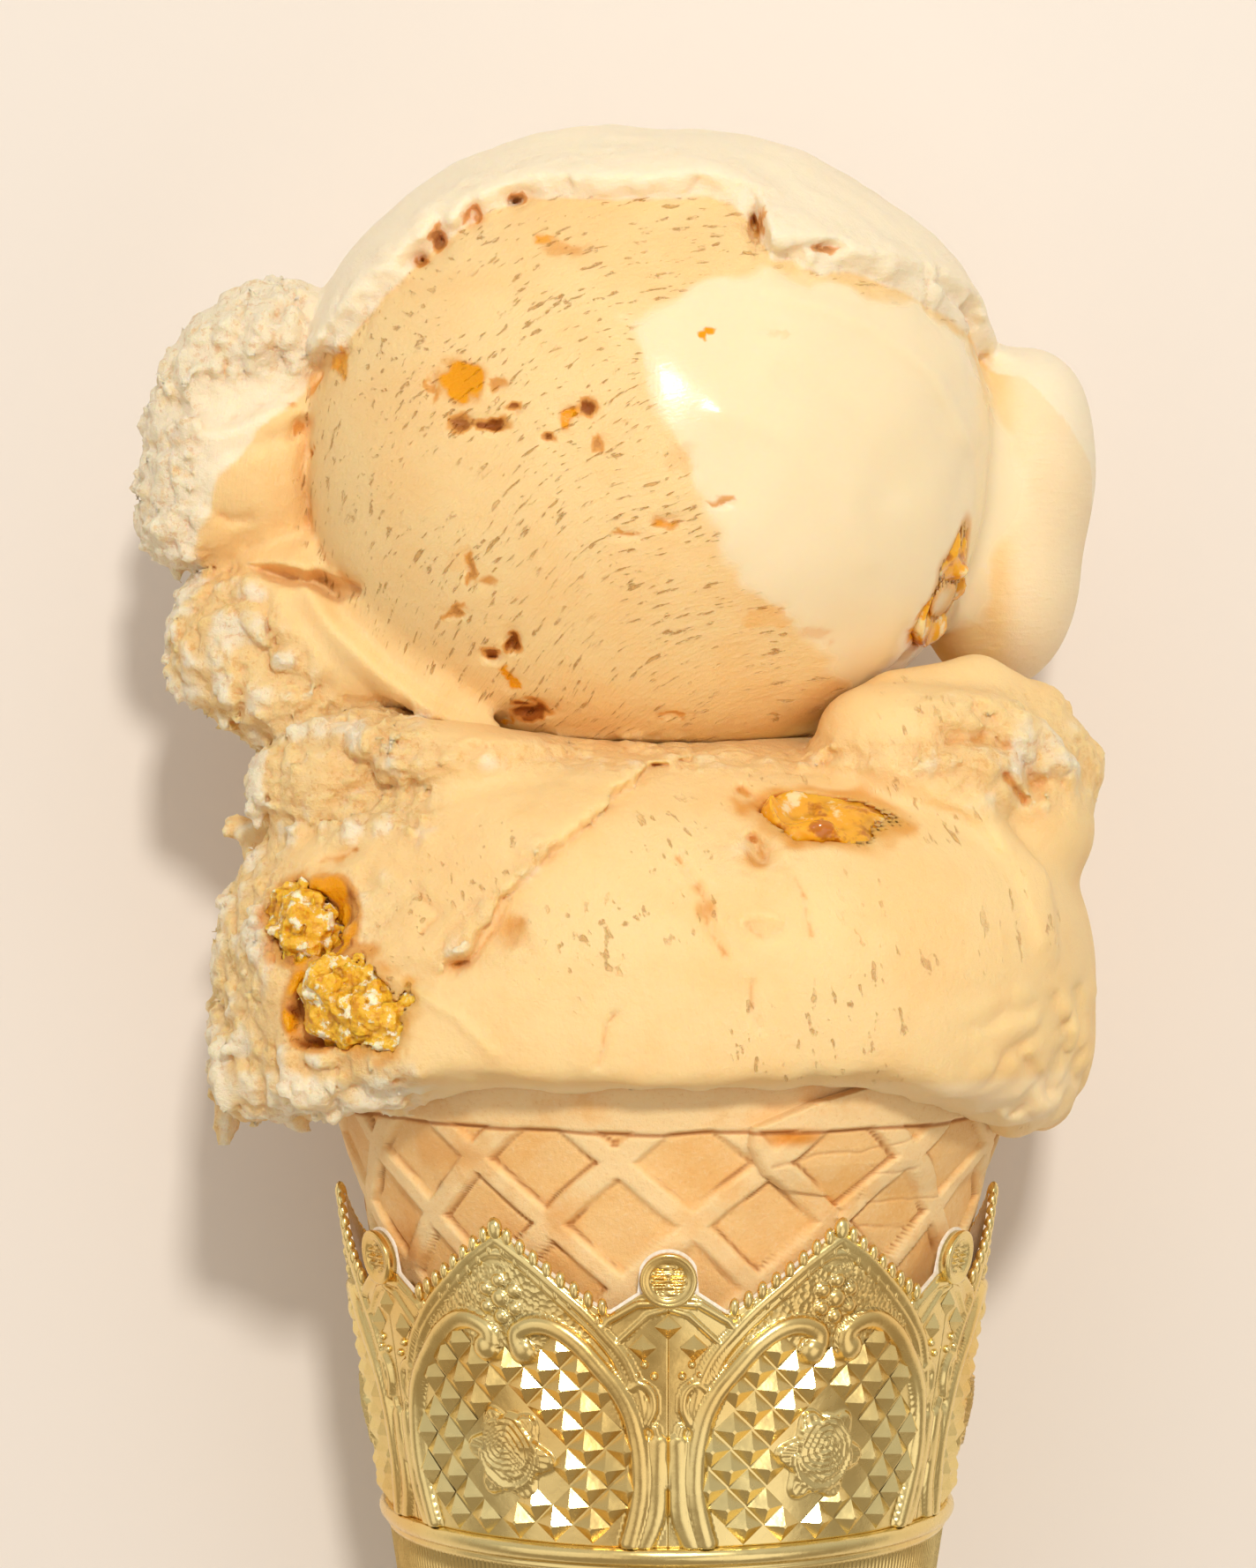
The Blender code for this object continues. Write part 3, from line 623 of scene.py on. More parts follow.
@dataclass(frozen=True)
class WaffleBiscuit(Finish):
    """Thin baked sugar waffle: matt and sandy, browned along its edges, with painted shade in its
    creases and cracks.
    """

    name: str = "baked_waffle"
    slot: str = "waffle"

    def material(self) -> bpy.types.Material:
        """Build the material."""
        material, tree = self.start({"Roughness": 0.72, "Subsurface Weight": 0.25,
                                     "Subsurface Radius": (1.0, 0.6, 0.3),
                                     "Subsurface Scale": 1.2 * MM})
        place = add_node(tree, "ShaderNodeTexCoord", out="Object")
        # Sugar grain of about half a millimetre over soft patches of 7 mm
        sand, patch = (
            add_node(tree, "ShaderNodeTexNoise", {}, {"Vector": place, "Scale": per_metre(size),
                                                      "Detail": 4.0, "Roughness": rough})
            for size, rough in ((0.45, 0.75), (7.0, 0.6)))
        ridge, shaded_crease, toast = (
            add_node(tree, "ShaderNodeAttribute", {"attribute_name": name}, out="Fac")
            for name in ("ridge", "shaded_crease", "toast"))
        colour = self.layers(tree, linear("f6c884"), (
            (ridge, 0.0, 1.0, 1.0, "fdd99e"), (patch, 0.45, 0.7, 0.5, "efae55"),
            (sand, 0.5, 0.75, 0.4, "fde3b8"), (sand, 0.45, 0.3, 0.3, "e0a258"),
            # Browning from the toast value, and painted shade in the creases and cracks
            (toast, 0.0, 1.0, 0.95, "df8c12"), (shaded_crease, 0.1, 1.0, 0.75, "ad661f")))
        height = add_node(tree, "ShaderNodeMath", {"operation": "MULTIPLY_ADD"},
                          {0: patch, 1: 0.6, 2: sand})
        bump = add_node(tree, "ShaderNodeBump", {},
                        {"Height": height, "Strength": 0.5, "Distance": 0.3 * MM})
        return self.fed(material, {"Base Color": colour, "Normal": bump})


@dataclass(frozen=True)
class GoldFoil(Finish):
    """Embossed gold-coloured aluminium foil: a mirror with fine wrinkles and soft blooms."""

    name: str = "embossed_gold_foil"
    slot: str = "gold_foil"
    body: str = "f1da96"
    bloom: str = "ecc87c"

    def material(self) -> bpy.types.Material:
        """Build the material."""
        material, tree = self.start({"Metallic": 1.0})
        place = add_node(tree, "ShaderNodeTexCoord", out="Object")
        stipple = add_node(tree, "ShaderNodeAttribute", {"attribute_name": "stipple"}, out="Fac")
        wrinkle = add_node(tree, "ShaderNodeTexNoise", {},
                           {"Vector": place, "Scale": per_metre(2.2), "Detail": 3.0})
        dots = add_node(tree, "ShaderNodeTexVoronoi", {},
                        {"Vector": place, "Scale": per_metre(0.55)}, out="Distance")
        cloud = add_node(tree, "ShaderNodeTexNoise", {},
                         {"Vector": place, "Scale": per_metre(16.0), "Detail": 1.0})
        colour = self.layers(tree, linear(self.body), ((cloud, 0.4, 0.7, 1.0, self.bloom),))
        rough = add_node(tree, "ShaderNodeMapRange", {}, {0: wrinkle, 1: 0.3, 2: 0.8, 3: 0.2,
                                                          4: 0.34})
        height = add_node(tree, "ShaderNodeMath", {"operation": "MULTIPLY"},
                          {0: dots, 1: stipple})
        height = add_node(tree, "ShaderNodeMath", {"operation": "MULTIPLY_ADD"},
                          {0: wrinkle, 1: 0.4, 2: height})
        bump = add_node(tree, "ShaderNodeBump", {},
                        {"Height": height, "Strength": 0.6, "Distance": 0.25 * MM})
        return self.fed(material, {"Base Color": colour, "Roughness": rough, "Normal": bump})


@dataclass(frozen=True)
class LiningPaper(Finish):
    """White greaseproof paper behind the foil, seen as a thin matt edge."""

    name: str = "white_lining_paper"
    slot: str = "gold_foil"

    def material(self) -> bpy.types.Material:
        """Build the material."""
        material, tree = self.start({"Roughness": 0.6})
        place = add_node(tree, "ShaderNodeTexCoord", out="Object")
        fibre = add_node(tree, "ShaderNodeTexNoise", {},
                         {"Vector": place, "Scale": per_metre(0.4), "Detail": 3.0})
        colour = self.layers(tree, linear("f4ead6"), ((fibre, 0.3, 0.7, 1.0, "fffaf0"),))
        return self.fed(material, {"Base Color": colour})


@dataclass(frozen=True)
class StudioPaper(Finish):
    """Matt cream background paper."""

    name: str = "cream_background_paper"
    slot: str = ""

    def material(self) -> bpy.types.Material:
        """Build the material."""
        material, _ = self.start({"Base Color": linear("efe6db"), "Roughness": 0.9,
                                  "Specular IOR Level": 0.1})
        return material


# Ice cream


BALL = Lump((-2.4, 46.4, 1.0), (34.1, 30.6, 33.5), power=2.12)
SPREAD = Lump((-1.2, -6.0, -0.2), (43.4, 25.8, 41.6), power=2.45)


@dataclass
class Chunk:
    """One piece of caramel or honeycomb, set in a pocket of the ice cream."""

    name: str
    lump: Lump
    seed: int
    porous: bool
    skin: Lump

    def field(self, point: Point) -> np.ndarray:
        """Distance to the uneven piece, which ice cream covers in part."""
        lean = 1.3 * noise(point, 3.6, self.seed + 3)
        cover = self.skin.field(point) + 1.5 * noise(point, 2.9, self.seed + 4)
        if self.porous:
            own = self.lump.field(point) + 0.5 + lean
            return np.maximum(own, cover - 0.2) - 1.1 * (crumbs(point, 1.5, self.seed) - 0.3)
        own = self.lump.field(point) + 0.3 + lean
        return np.maximum(own, cover - 0.3) - 0.5 * (crumbs(point, 4.2, self.seed) - 0.4)

    def build(self, finish: Finish) -> bpy.types.Object:
        """Make the piece and dress it."""
        reach = [radius + 1.5 for radius in self.lump.radii]
        reach = [max(reach[0], reach[1])] * 2 + [reach[2]]
        low = tuple(c - r for c, r in zip(self.lump.centre, reach))
        high = tuple(c + r for c, r in zip(self.lump.centre, reach))
        sculptor = Sculptor(0.22, low, high, band=2.5)
        points, faces = largest_island(*sculptor.surface(self.field))
        mesh = to_mesh(self.name, points, faces)
        # Relief below 0 marks creases, which the material darkens as painted shade
        rough = crumbs(points.T, 1.5 if self.porous else 4.2, self.seed) - 0.5
        set_value(mesh, "relief", rough)
        item = add_object(self.name + "_dressed", mesh, finish.material())
        return place(item, finish, self.name)


CHUNKS = (
    Chunk("caramel_piece_upper", Lump((25.8, 34.2, 12.6), (3.9, 7.2, 4.0), 10.0, 2.6), 3, False,
          BALL),
    Chunk("caramel_piece_seam", Lump((14.6, 11.4, 30.9), (7.8, 3.6, 3.7), 14.0, 2.2), 5, False,
          SPREAD),
    Chunk("honeycomb_piece_front", Lump((-26.4, -5.7, 31.4), (8.2, 5.0, 4.8), -12.0, 2.4), 7,
          True, SPREAD),
    Chunk("honeycomb_piece_side", Lump((-33.8, 1.6, 25.6), (3.9, 4.4, 3.7), 12.0), 9, True,
          SPREAD),
)


def waffle_radius(y: Any) -> Any:
    """Plain outer radius of the waffle at a place along the cone."""
    return WAFFLE_RADIUS + (y - WAFFLE_RADIUS_Y) * WAFFLE_SLOPE


def chunk_space(point: Point, margin: float) -> np.ndarray:
    """Distance to the nearest chunk, made larger by a margin."""
    return np.minimum.reduce([chunk.field(point) for chunk in CHUNKS]) - margin


# Torn edge of the layer that wraps the ball: X, Y and thickness, from left to right
HOOD_LIP = ((-31.0, 56.5, 0.9), (-28.6, 60.0, 1.5), (-25.5, 63.4, 1.8), (-21.4, 67.4, 2.0),
            (-17.6, 70.0, 1.9), (-13.6, 71.2, 1.4), (-9.5, 71.4, 1.0), (-5.5, 71.9, 1.7),
            (0.0, 71.9, 2.1), (5.5, 70.9, 2.1), (8.4, 68.9, 1.8), (8.9, 66.4, 1.3),
            (11.0, 64.9, 1.3), (15.2, 64.6, 1.6), (19.4, 63.4, 1.7), (24.0, 61.4, 1.4),
            (28.4, 58.6, 1.0))


@dataclass
class Scoop:
    """What the two scoops of ice cream have in common."""

    name: str
    low: Triple
    high: Triple
    step: float = 0.36
    quick_step: float = 0.75
    triangles: int = 190000
    firmness: float = 0.01
    lines: tuple = ()

    def torn(self, point: Point) -> np.ndarray:
        """How rough the ice cream is torn: 1 at its outer edges and 0 on scooped faces."""
        x, y, z = point
        flap = rise(-x, 33.0, 36.0) * rise(y, 30.0, 36.0)
        flap = flap * np.clip(rise(y, 51.0, 56.0) + rise(-x, 43.0, 47.5) + 0.12, 0.0, 1.0)
        low_flap = rise(-x - 0.65 * (y - 19.3), 27.5, 32.0) * rise(-y, -37.0, -33.0)
        low_flap = low_flap * rise(y, 15.0, 18.0)
        left = rise(-x, 34.0, 39.0) * rise(-y, -18.0, -15.0)
        fringe = rise(-x, 19.0, 25.0) * rise(-np.abs(y - 16.0), -8.0, -4.0)
        fringe = fringe + 0.6 * rise(-np.abs(y - 17.6), -2.6, -0.6) * rise(z, 12.0, 18.0)
        right = 0.55 * rise(x, 20.0, 28.0) * rise(-np.abs(y - 18.0), -8.0, -4.0)
        skirt = rise(-y, 8.5, 11.0) * rise(-x, 20.0, 25.0)
        pocket = 0.8 * spot(point, (-31.5, 3.0, 30.0), 7.0)
        flakes = 0.6 * spot(point, (-14.5, 1.0, 38.0), 3.2) + 0.6 * spot(point, (8, 9.5, 36), 4.0)
        hood = np.maximum.reduce([spot(point, self.on_ball(px, py), 2.6)
                                  for px, py, _ in HOOD_LIP])
        total = flap + low_flap + left + fringe + right + skirt + pocket + flakes + 0.8 * hood
        return np.clip(total, 0.0, 1.0)

    @staticmethod
    def on_ball(x: float, y: float) -> Triple:
        """Place on the front of the ball over a place in the picture's plane."""
        (cx, cy, cz), (rx, ry, rz) = BALL.centre, BALL.radii
        left = 1.0 - abs((x - cx) / rx) ** BALL.power - abs((y - cy) / ry) ** BALL.power
        return x, y, cz + rz * max(left, 0.02) ** (1.0 / BALL.power)

    def grooves(self, point: Point) -> tuple[np.ndarray, np.ndarray]:
        """Depth of the folds and grooves that show from the front, and the painted shade along
        them.
        """
        x, y, z = point
        wander = 0.35 * noise(point, 1.7, 16)
        depth, brown = np.zeros(np.shape(x)), np.zeros(np.shape(x))
        for half, deep, groove_shade, path in self.lines:
            gap = path_gap(x + wander, y - wander, path) / half
            depth = depth + deep * np.exp(-gap ** 2) * (z > 0.0)
            brown = np.maximum(brown, 0.75 * groove_shade * np.exp(-(gap * 1.6) ** 2) * (z > 0.0))
        return depth, brown * rise(noise(point, 1.1, 17), -0.6, 0.1)

    def relief(self, point: Point) -> np.ndarray:
        """Lumps of torn ice cream, in millimetres outwards."""
        x, y, z = point
        warp = noise(point, 5.0, 41) * 1.2
        moved = (x + warp, y - warp, z + warp)
        rough = 1.5 * (crumbs(moved, 3.3, 11) - 0.5) + 0.75 * (crumbs(point, 1.5, 18) - 0.5)
        soft = noise(point, 9.0, 14) * 0.5 + noise(point, 4.0, 15) * 0.2
        return rough * self.torn(point) + 0.3 * soft - self.grooves(point)[0]

    def shape(self, point: Point) -> np.ndarray:
        """Distance to the scoop."""
        raise NotImplementedError

    def stroke(self, places: np.ndarray) -> np.ndarray:
        """Coordinates along and across the scoop's stroke, for the drag lines."""
        raise NotImplementedError

    def values(self, point: Point) -> dict[str, np.ndarray]:
        """Stored numbers that the material reads, for each point."""
        raise NotImplementedError

    def build(self, finish: Finish) -> bpy.types.Object:
        """Sculpt the scoop, thin its back and dress it."""
        step = self.step
        points, faces = Sculptor(step, self.low, self.high).surface(self.shape)
        points, faces = largest_island(points, faces)
        points[:, 2] = np.maximum(points[:, 2], -AXIS_HEIGHT)
        mesh = to_mesh(self.name, points, faces)
        LOG.info("%s: %d points sculpted", self.name, len(points))
        away = rise(-points[:, 2], -4.0, 12.0)
        mesh = thin_back(mesh, self.triangles, away, self.firmness)
        places = places_of(mesh)
        # Thinning can lift or sink points of the flat spot that the cone lies on
        places[:, 2] = np.maximum(places[:, 2], -AXIS_HEIGHT)
        mesh.vertices.foreach_set("co", in_scene(places).ravel())
        mesh.update()
        for key, values in self.values(places.T).items():
            set_value(mesh, key, values)
        set_value(mesh, "stroke", self.stroke(places))
        item = add_object(self.name + "_dressed", mesh, finish.material())
        return place(item, finish, self.name)


@dataclass
class UpperScoop(Scoop):
    """The ball with its hood, flaps and lobe."""

    name: str = "upper_scoop"
    low: Triple = (-55.0, 11.0, -42.0)
    high: Triple = (46.0, 82.0, 37.0)
    ball: Lump = BALL
    hood: Lump = Lump((-2.0, 46.0, -1.0), (36.6, 33.0, 39.9), power=2.12)
    hood_facing: Triple = (0.061, -0.824, 0.564)
    hood_edge: tuple = (
        (-36.0, -1.0), (-26.0, -4.4), (-16.6, -9.2), (-5.7, -7.3), (7.6, -6.4), (9.4, 1.4),
        (21.0, 0.1), (28.0, -5.5), (36.0, -8.0))
    left_flap: tuple = (
        Lump((-41.0, 47.5, 1.0), (10.4, 11.5, 13.0), -4.0),
        Lump((-38.6, 55.2, 2.0), (8.6, 8.0, 12.0), 28.0),
        Lump((-46.6, 40.6, 3.0), (5.2, 5.2, 8.0), 0.0))
    low_flap: tuple = (
        Lump((-40.6, 28.0, 1.0), (8.6, 7.6, 12.0), -8.0),
        Lump((-29.5, 28.6, 6.5), (13.5, 8.2, 9.5), -24.0),
        Lump((-36.0, 22.2, 4.0), (9.0, 5.6, 11.0), -28.0))
    fold: tuple = (
        (-38.0, 31.0, 11.5, 2.4), (-29.0, 27.0, 15.0, 2.3), (-22.5, 22.8, 17.5, 2.0),
        (-17.2, 19.6, 18.5, 1.2))
    flap_groove: tuple = (
        (-50.0, 50.5, 10.0, 1.6), (-42.0, 52.6, 14.5, 2.6), (-33.5, 56.0, 14.0, 1.9))
    slit: Lump = Lump((-37.4, 34.7, 18.5), (8.4, 1.1, 9.5), -14.0, 2.0)
    right_lobe: tuple = (
        Lump((35.4, 48.0, -8.0), (7.4, 9.7, 12.5)), Lump((33.2, 37.5, -8.0), (8.4, 13.8, 13.5)))
    # Bits of caramel and small pits: X, Y, half width, half height, depth of the pit, gold share,
    # and brown share, which is caramel colour on the bits and painted shade in the pits
    bits: tuple = (
        (-19.3, 52.2, 2.3, 2.3, 0.45, 1.0, 0.5), (-22.0, 52.0, 0.4, 1.4, 0.4, 0.0, 0.6),
        (-15.8, 51.6, 0.9, 0.8, 0.5, 0.0, 0.6), (-18.9, 48.4, 1.4, 0.8, 0.8, 0.0, 0.85),
        (-16.0, 48.1, 1.4, 0.7, 1.0, 0.0, 1.0), (-14.1, 49.3, 0.6, 0.4, 0.7, 0.0, 1.0),
        (-9.1, 49.0, 1.4, 1.5, 0.5, 0.9, 0.5), (-7.4, 49.6, 0.9, 1.1, 0.8, 0.0, 1.0),
        (-11.1, 46.8, 0.8, 0.5, 0.6, 0.0, 0.9), (-6.3, 46.3, 0.5, 0.9, 0.4, 0.0, 0.7),
        (0.8, 44.7, 2.2, 1.8, 0.2, 0.3, 0.15), (-0.4, 39.3, 1.4, 0.6, 0.6, 0.6, 0.7),
        (-4.0, 38.0, 1.5, 0.35, 0.5, 0.0, 0.6), (4.9, 40.8, 1.5, 0.35, 0.4, 0.0, 0.5),
        (-19.6, 36.0, 1.8, 2.2, 0.0, 0.35, 0.0), (-18.6, 34.8, 0.4, 1.8, 0.5, 0.0, 0.7),
        (-16.9, 33.5, 1.0, 0.8, 0.3, 0.0, 0.5), (-20.0, 30.9, 1.6, 0.4, 0.4, 0.0, 0.7),
        (-14.6, 28.3, 0.8, 1.1, 1.3, 0.0, 1.0), (-16.5, 26.9, 1.1, 0.6, 1.2, 0.0, 1.0),
        (-13.1, 26.4, 1.0, 0.7, 0.0, 0.3, 0.0), (-14.9, 24.4, 1.0, 1.1, 0.4, 0.9, 0.3),
        (-13.0, 21.9, 2.6, 0.9, 1.0, 0.0, 1.0), (-15.6, 21.0, 1.0, 0.6, 0.3, 0.8, 0.3),
        (0.2, 21.3, 1.8, 0.4, 0.3, 0.0, 0.7), (9.1, 30.5, 3.6, 1.5, 0.0, 0.4, 0.0),
        (13.8, 28.7, 2.0, 0.9, 0.2, 0.3, 0.2), (-9.8, 64.6, 2.4, 1.1, 0.5, 0.0, 0.35),
        (-11.8, 65.7, 1.4, 0.8, 0.2, 0.6, 0.3), (-31.1, 54.5, 1.1, 1.9, 0.3, 0.6, 0.3),
        (-34.1, 46.4, 0.5, 0.5, 0.5, 0.0, 0.8), (3.3, 56.4, 0.6, 0.6, 0.2, 0.8, 0.2),
        (9.4, 56.9, 1.6, 0.8, 0.2, 0.35, 0.1), (23.2, 28.7, 1.1, 1.2, 0.3, 0.8, 0.4),
        (24.5, 30.6, 0.8, 1.4, 0.3, 0.5, 0.5))
    # Openings under the hood's edge, carved in and darkened with painted shade: X, Y, half width
    # and half height
    openings: tuple = (
        (-21.6, 66.6, 0.8, 1.6), (-18.4, 68.6, 0.7, 1.1), (-14.6, 69.9, 0.9, 0.7),
        (-23.4, 64.4, 0.9, 0.7), (14.6, 64.9, 1.7, 0.55), (8.0, 67.4, 0.5, 2.2))
    # Folds and grooves: half width, depth, share of painted shade along the groove, and the path's
    # X and Y
    lines: tuple = (
        (0.9, 0.55, 0.1, ((-34.3, 36.2), (-31.4, 31.3), (-26.5, 26.4), (-21.5, 22.6),
                          (-17.5, 20.0))),
        (0.7, -0.5, 0.0, ((-35.2, 34.2), (-32.1, 29.5), (-27.3, 24.9), (-22.3, 21.5),
                          (-17.7, 19.5))),
        (0.8, 0.35, 0.0, ((-35.8, 31.4), (-32.0, 26.8), (-27.4, 22.6), (-24.1, 20.7))),
        (0.6, 0.5, 0.35, ((-34.9, 49.1), (-35.2, 44.1), (-34.3, 39.0), (-32.6, 35.6),
                          (-29.3, 33.3))),
        (0.9, 0.7, 0.25, ((-43.3, 49.3), (-39.5, 50.7), (-35.7, 52.9), (-32.6, 54.9))),
        (0.8, 0.5, 0.15, ((-44.5, 45.8), (-40.0, 47.0), (-36.2, 48.3), (-34.9, 49.1))),
        (0.7, 0.5, 0.7, ((-36.2, 51.3), (-34.3, 52.5), (-33.4, 53.8))),
        (0.5, 0.6, 0.8, ((-36.3, 48.1), (-35.3, 49.1))),
        (0.5, 0.5, 0.3, ((-43.2, 40.5), (-41.9, 39.7), (-40.3, 40.0))),
        (0.9, -0.35, 0.0, ((9.1, 60.7), (14.0, 59.2), (20.0, 56.9), (25.2, 53.1), (28.5, 47.4))),
        (1.6, 0.3, 0.0, ((25.1, 49.7), (27.5, 42.3), (29.4, 35.7), (31.0, 28.9))),
        (1.2, -0.25, 0.0, ((4.9, 49.0), (11.4, 46.7), (16.4, 41.9), (18.7, 35.5))),
        (1.4, 0.25, 0.0, ((10.6, 52.4), (16.4, 48.4), (20.7, 42.0))))
    melt_outline: tuple = (
        (-4.8, 58.0), (-1.6, 51.4), (2.4, 41.7), (7.4, 33.7), (9.6, 31.0), (14.2, 26.9),
        (18.6, 22.5), (21.8, 25.2), (30.6, 30.6), (36.0, 44.0), (29.3, 58.0), (9.1, 63.4))
    # Slope of the scoop's drag lines, in degrees, against X
    stroke_slope: tuple = (
        (-40.0, 78.0), (-32.0, 74.0), (-27.0, 66.0), (-20.0, 52.0), (-12.0, 42.0), (-5.0, 28.0),
        (0.0, 19.0), (5.0, 12.0), (12.0, 7.0), (40.0, 3.0))

    def hood_field(self, point: Point) -> np.ndarray:
        """The smooth layer that wraps the back and the top of the ball."""
        layer = self.hood.field(point)
        reach = sum((axis - centre) * part for axis, centre, part
                    in zip(point, self.ball.centre, self.hood_facing))
        edge = np.interp(point[0], *zip(*self.hood_edge))
        edge = edge + 1.0 * noise(point, 3.4, 21) + 0.5 * noise(point, 1.3, 22)
        layer = cut(layer, -(reach - edge), 1.2)
        lip = bar(point, [(*self.on_ball(x, y), size) for x, y, size in HOOD_LIP])
        layer = layer - 0.6 * noise(point, 10.0, 47) - 0.16 * noise(point, 2.6, 48)
        return union(layer, lip, 1.0)

    def shape(self, point: Point) -> np.ndarray:
        """Distance to the scoop."""
        scoop = union(self.ball.field(point), self.hood_field(point), 0.8)
        scoop = union(scoop, lumps(point, self.right_lobe, 5.0), 3.0)
        flap = cut(lumps(point, self.left_flap, 3.0), bar(point, self.flap_groove), 1.6)
        scoop = union(scoop, flap, 0.7)
        sheet = union(lumps(point, self.low_flap, 3.0), bar(point, self.fold), 3.0)
        scoop = union(scoop, sheet, 2.5)
        scoop = cut(scoop, self.slit.field(point), 0.6)
        wave = 0.22 + 0.25 * noise(point, 5.5, 42)
        scoop = scoop - self.relief(point) - wave * self.melted(point)
        for x, y, half, tall, depth, *_ in self.bits:
            scoop = scoop + depth * self.patch(point, x, y, half * 0.8, tall * 0.8)
        for x, y, half, tall in self.openings:
            scoop = scoop + 1.6 * self.patch(point, x, y, half, tall)
        return np.maximum(scoop, -chunk_space(point, CLEARANCE))

    @staticmethod
    def patch(point: Point, x: float, y: float, half: float, tall: float) -> np.ndarray:
        """Ragged patch on the front of the scoop: 1 in its middle and 0 outside."""
        gap = ((point[0] - x) / half) ** 2 + ((point[1] - y) / tall) ** 2
        return np.exp(-gap) * (point[2] > 0.0)

    def stroke(self, places: np.ndarray) -> np.ndarray:
        """Coordinates along and across curved lines that flatten from left to right."""
        x, y, z = places.T
        steps = np.linspace(-60.0, 50.0, 441)
        slope = np.radians(np.interp(steps, *zip(*self.stroke_slope)))
        run = np.cumsum(1.0 / np.cos(slope)) * 0.25
        climb = np.cumsum(np.tan(slope)) * 0.25
        climb = climb - np.interp(-14.0, steps, climb) + 36.0
        across = (y - np.interp(x, steps, climb)) * np.interp(x, steps, np.cos(slope) ** 0.7)
        across = across + 0.8 * noise(places.T, 7.0, 71)
        return np.stack((np.interp(x, steps, run) * 0.5, across * 2.1, z * 0.12), 1)

    def melted(self, point: Point) -> np.ndarray:
        """How far a place lies within the wet patch that melted first."""
        x, y, z = point
        wobble = 1.3 * noise(point, 4.0, 72) + 0.7 * noise(point, 1.6, 76)
        outline = (*self.melt_outline, self.melt_outline[0])
        inside = np.zeros(np.shape(x), dtype=bool)
        for (ax, ay), (bx, by) in zip(outline, outline[1:]):
            crossing = (ay > y) != (by > y)
            inside ^= crossing & (x < (bx - ax) * (y - ay) / (by - ay + 1e-9) + ax)
        nearest = path_gap(x, y, outline)
        signed = np.where(inside, nearest, -nearest) + wobble
        return rise(signed, -0.8, 1.2) * (z > 0.0)

    def values(self, point: Point) -> dict[str, np.ndarray]:
        """Stored numbers that the material reads, for each point."""
        melt = self.melted(point)
        hood = rise(-(self.hood_field(point) - self.ball.field(point)), -0.6, 0.6)
        stain_and_shade = np.zeros(len(point[0]))
        amber = np.zeros(len(point[0]))
        warp = [0.8 * noise(point, 2.2, seed) + 0.5 * noise(point, 0.8, seed + 5)
                for seed in (73, 74)]
        moved = (point[0] + warp[0], point[1] + warp[1], point[2])
        # Brown share: caramel on the bits, painted shade in the pits
        for x, y, half, tall, _, gold, brown in self.bits:
            near = self.patch(moved, x, y, half, tall)
            stain_and_shade = np.maximum(stain_and_shade, brown * rise(near, 0.12, 0.75))
            amber = np.maximum(amber, gold * rise(near, 0.4, 0.7))
        # The openings get painted shade
        for x, y, half, tall in self.openings:
            stain_and_shade = np.maximum(stain_and_shade, 0.75 * rise(self.patch(moved, x, y, half, tall), 0.3, 0.9))
        stain_and_shade = np.maximum(stain_and_shade, 0.5 * rise(-chunk_space(point, 0.0), -2.0, 0.0))
        # Painted shade along the grooves
        stain_and_shade = np.maximum(stain_and_shade, self.grooves(point)[1])
        torn = self.torn(point)
        on_ball = rise(-np.abs(self.ball.field(point)), -1.3, -0.7)
        pores = (1.0 - melt) * (1.0 - hood) * (1.0 - torn) * on_ball
        pores = pores * rise(noise(point, 6.0, 75), -0.75, 0.15)
        # Relief below 0 marks the creases between crumbs, where the material paints shade
        relief = (crumbs(point, 3.3, 11) - 0.4) * torn * 1.6 + hood
        relief = relief + 0.6 * rise(point[0], 31.0, 35.0)
        return {"melt": melt * (1.0 - hood), "torn": torn, "stain_and_shade": stain_and_shade, "amber": amber,
                "relief": relief, "pores": pores}


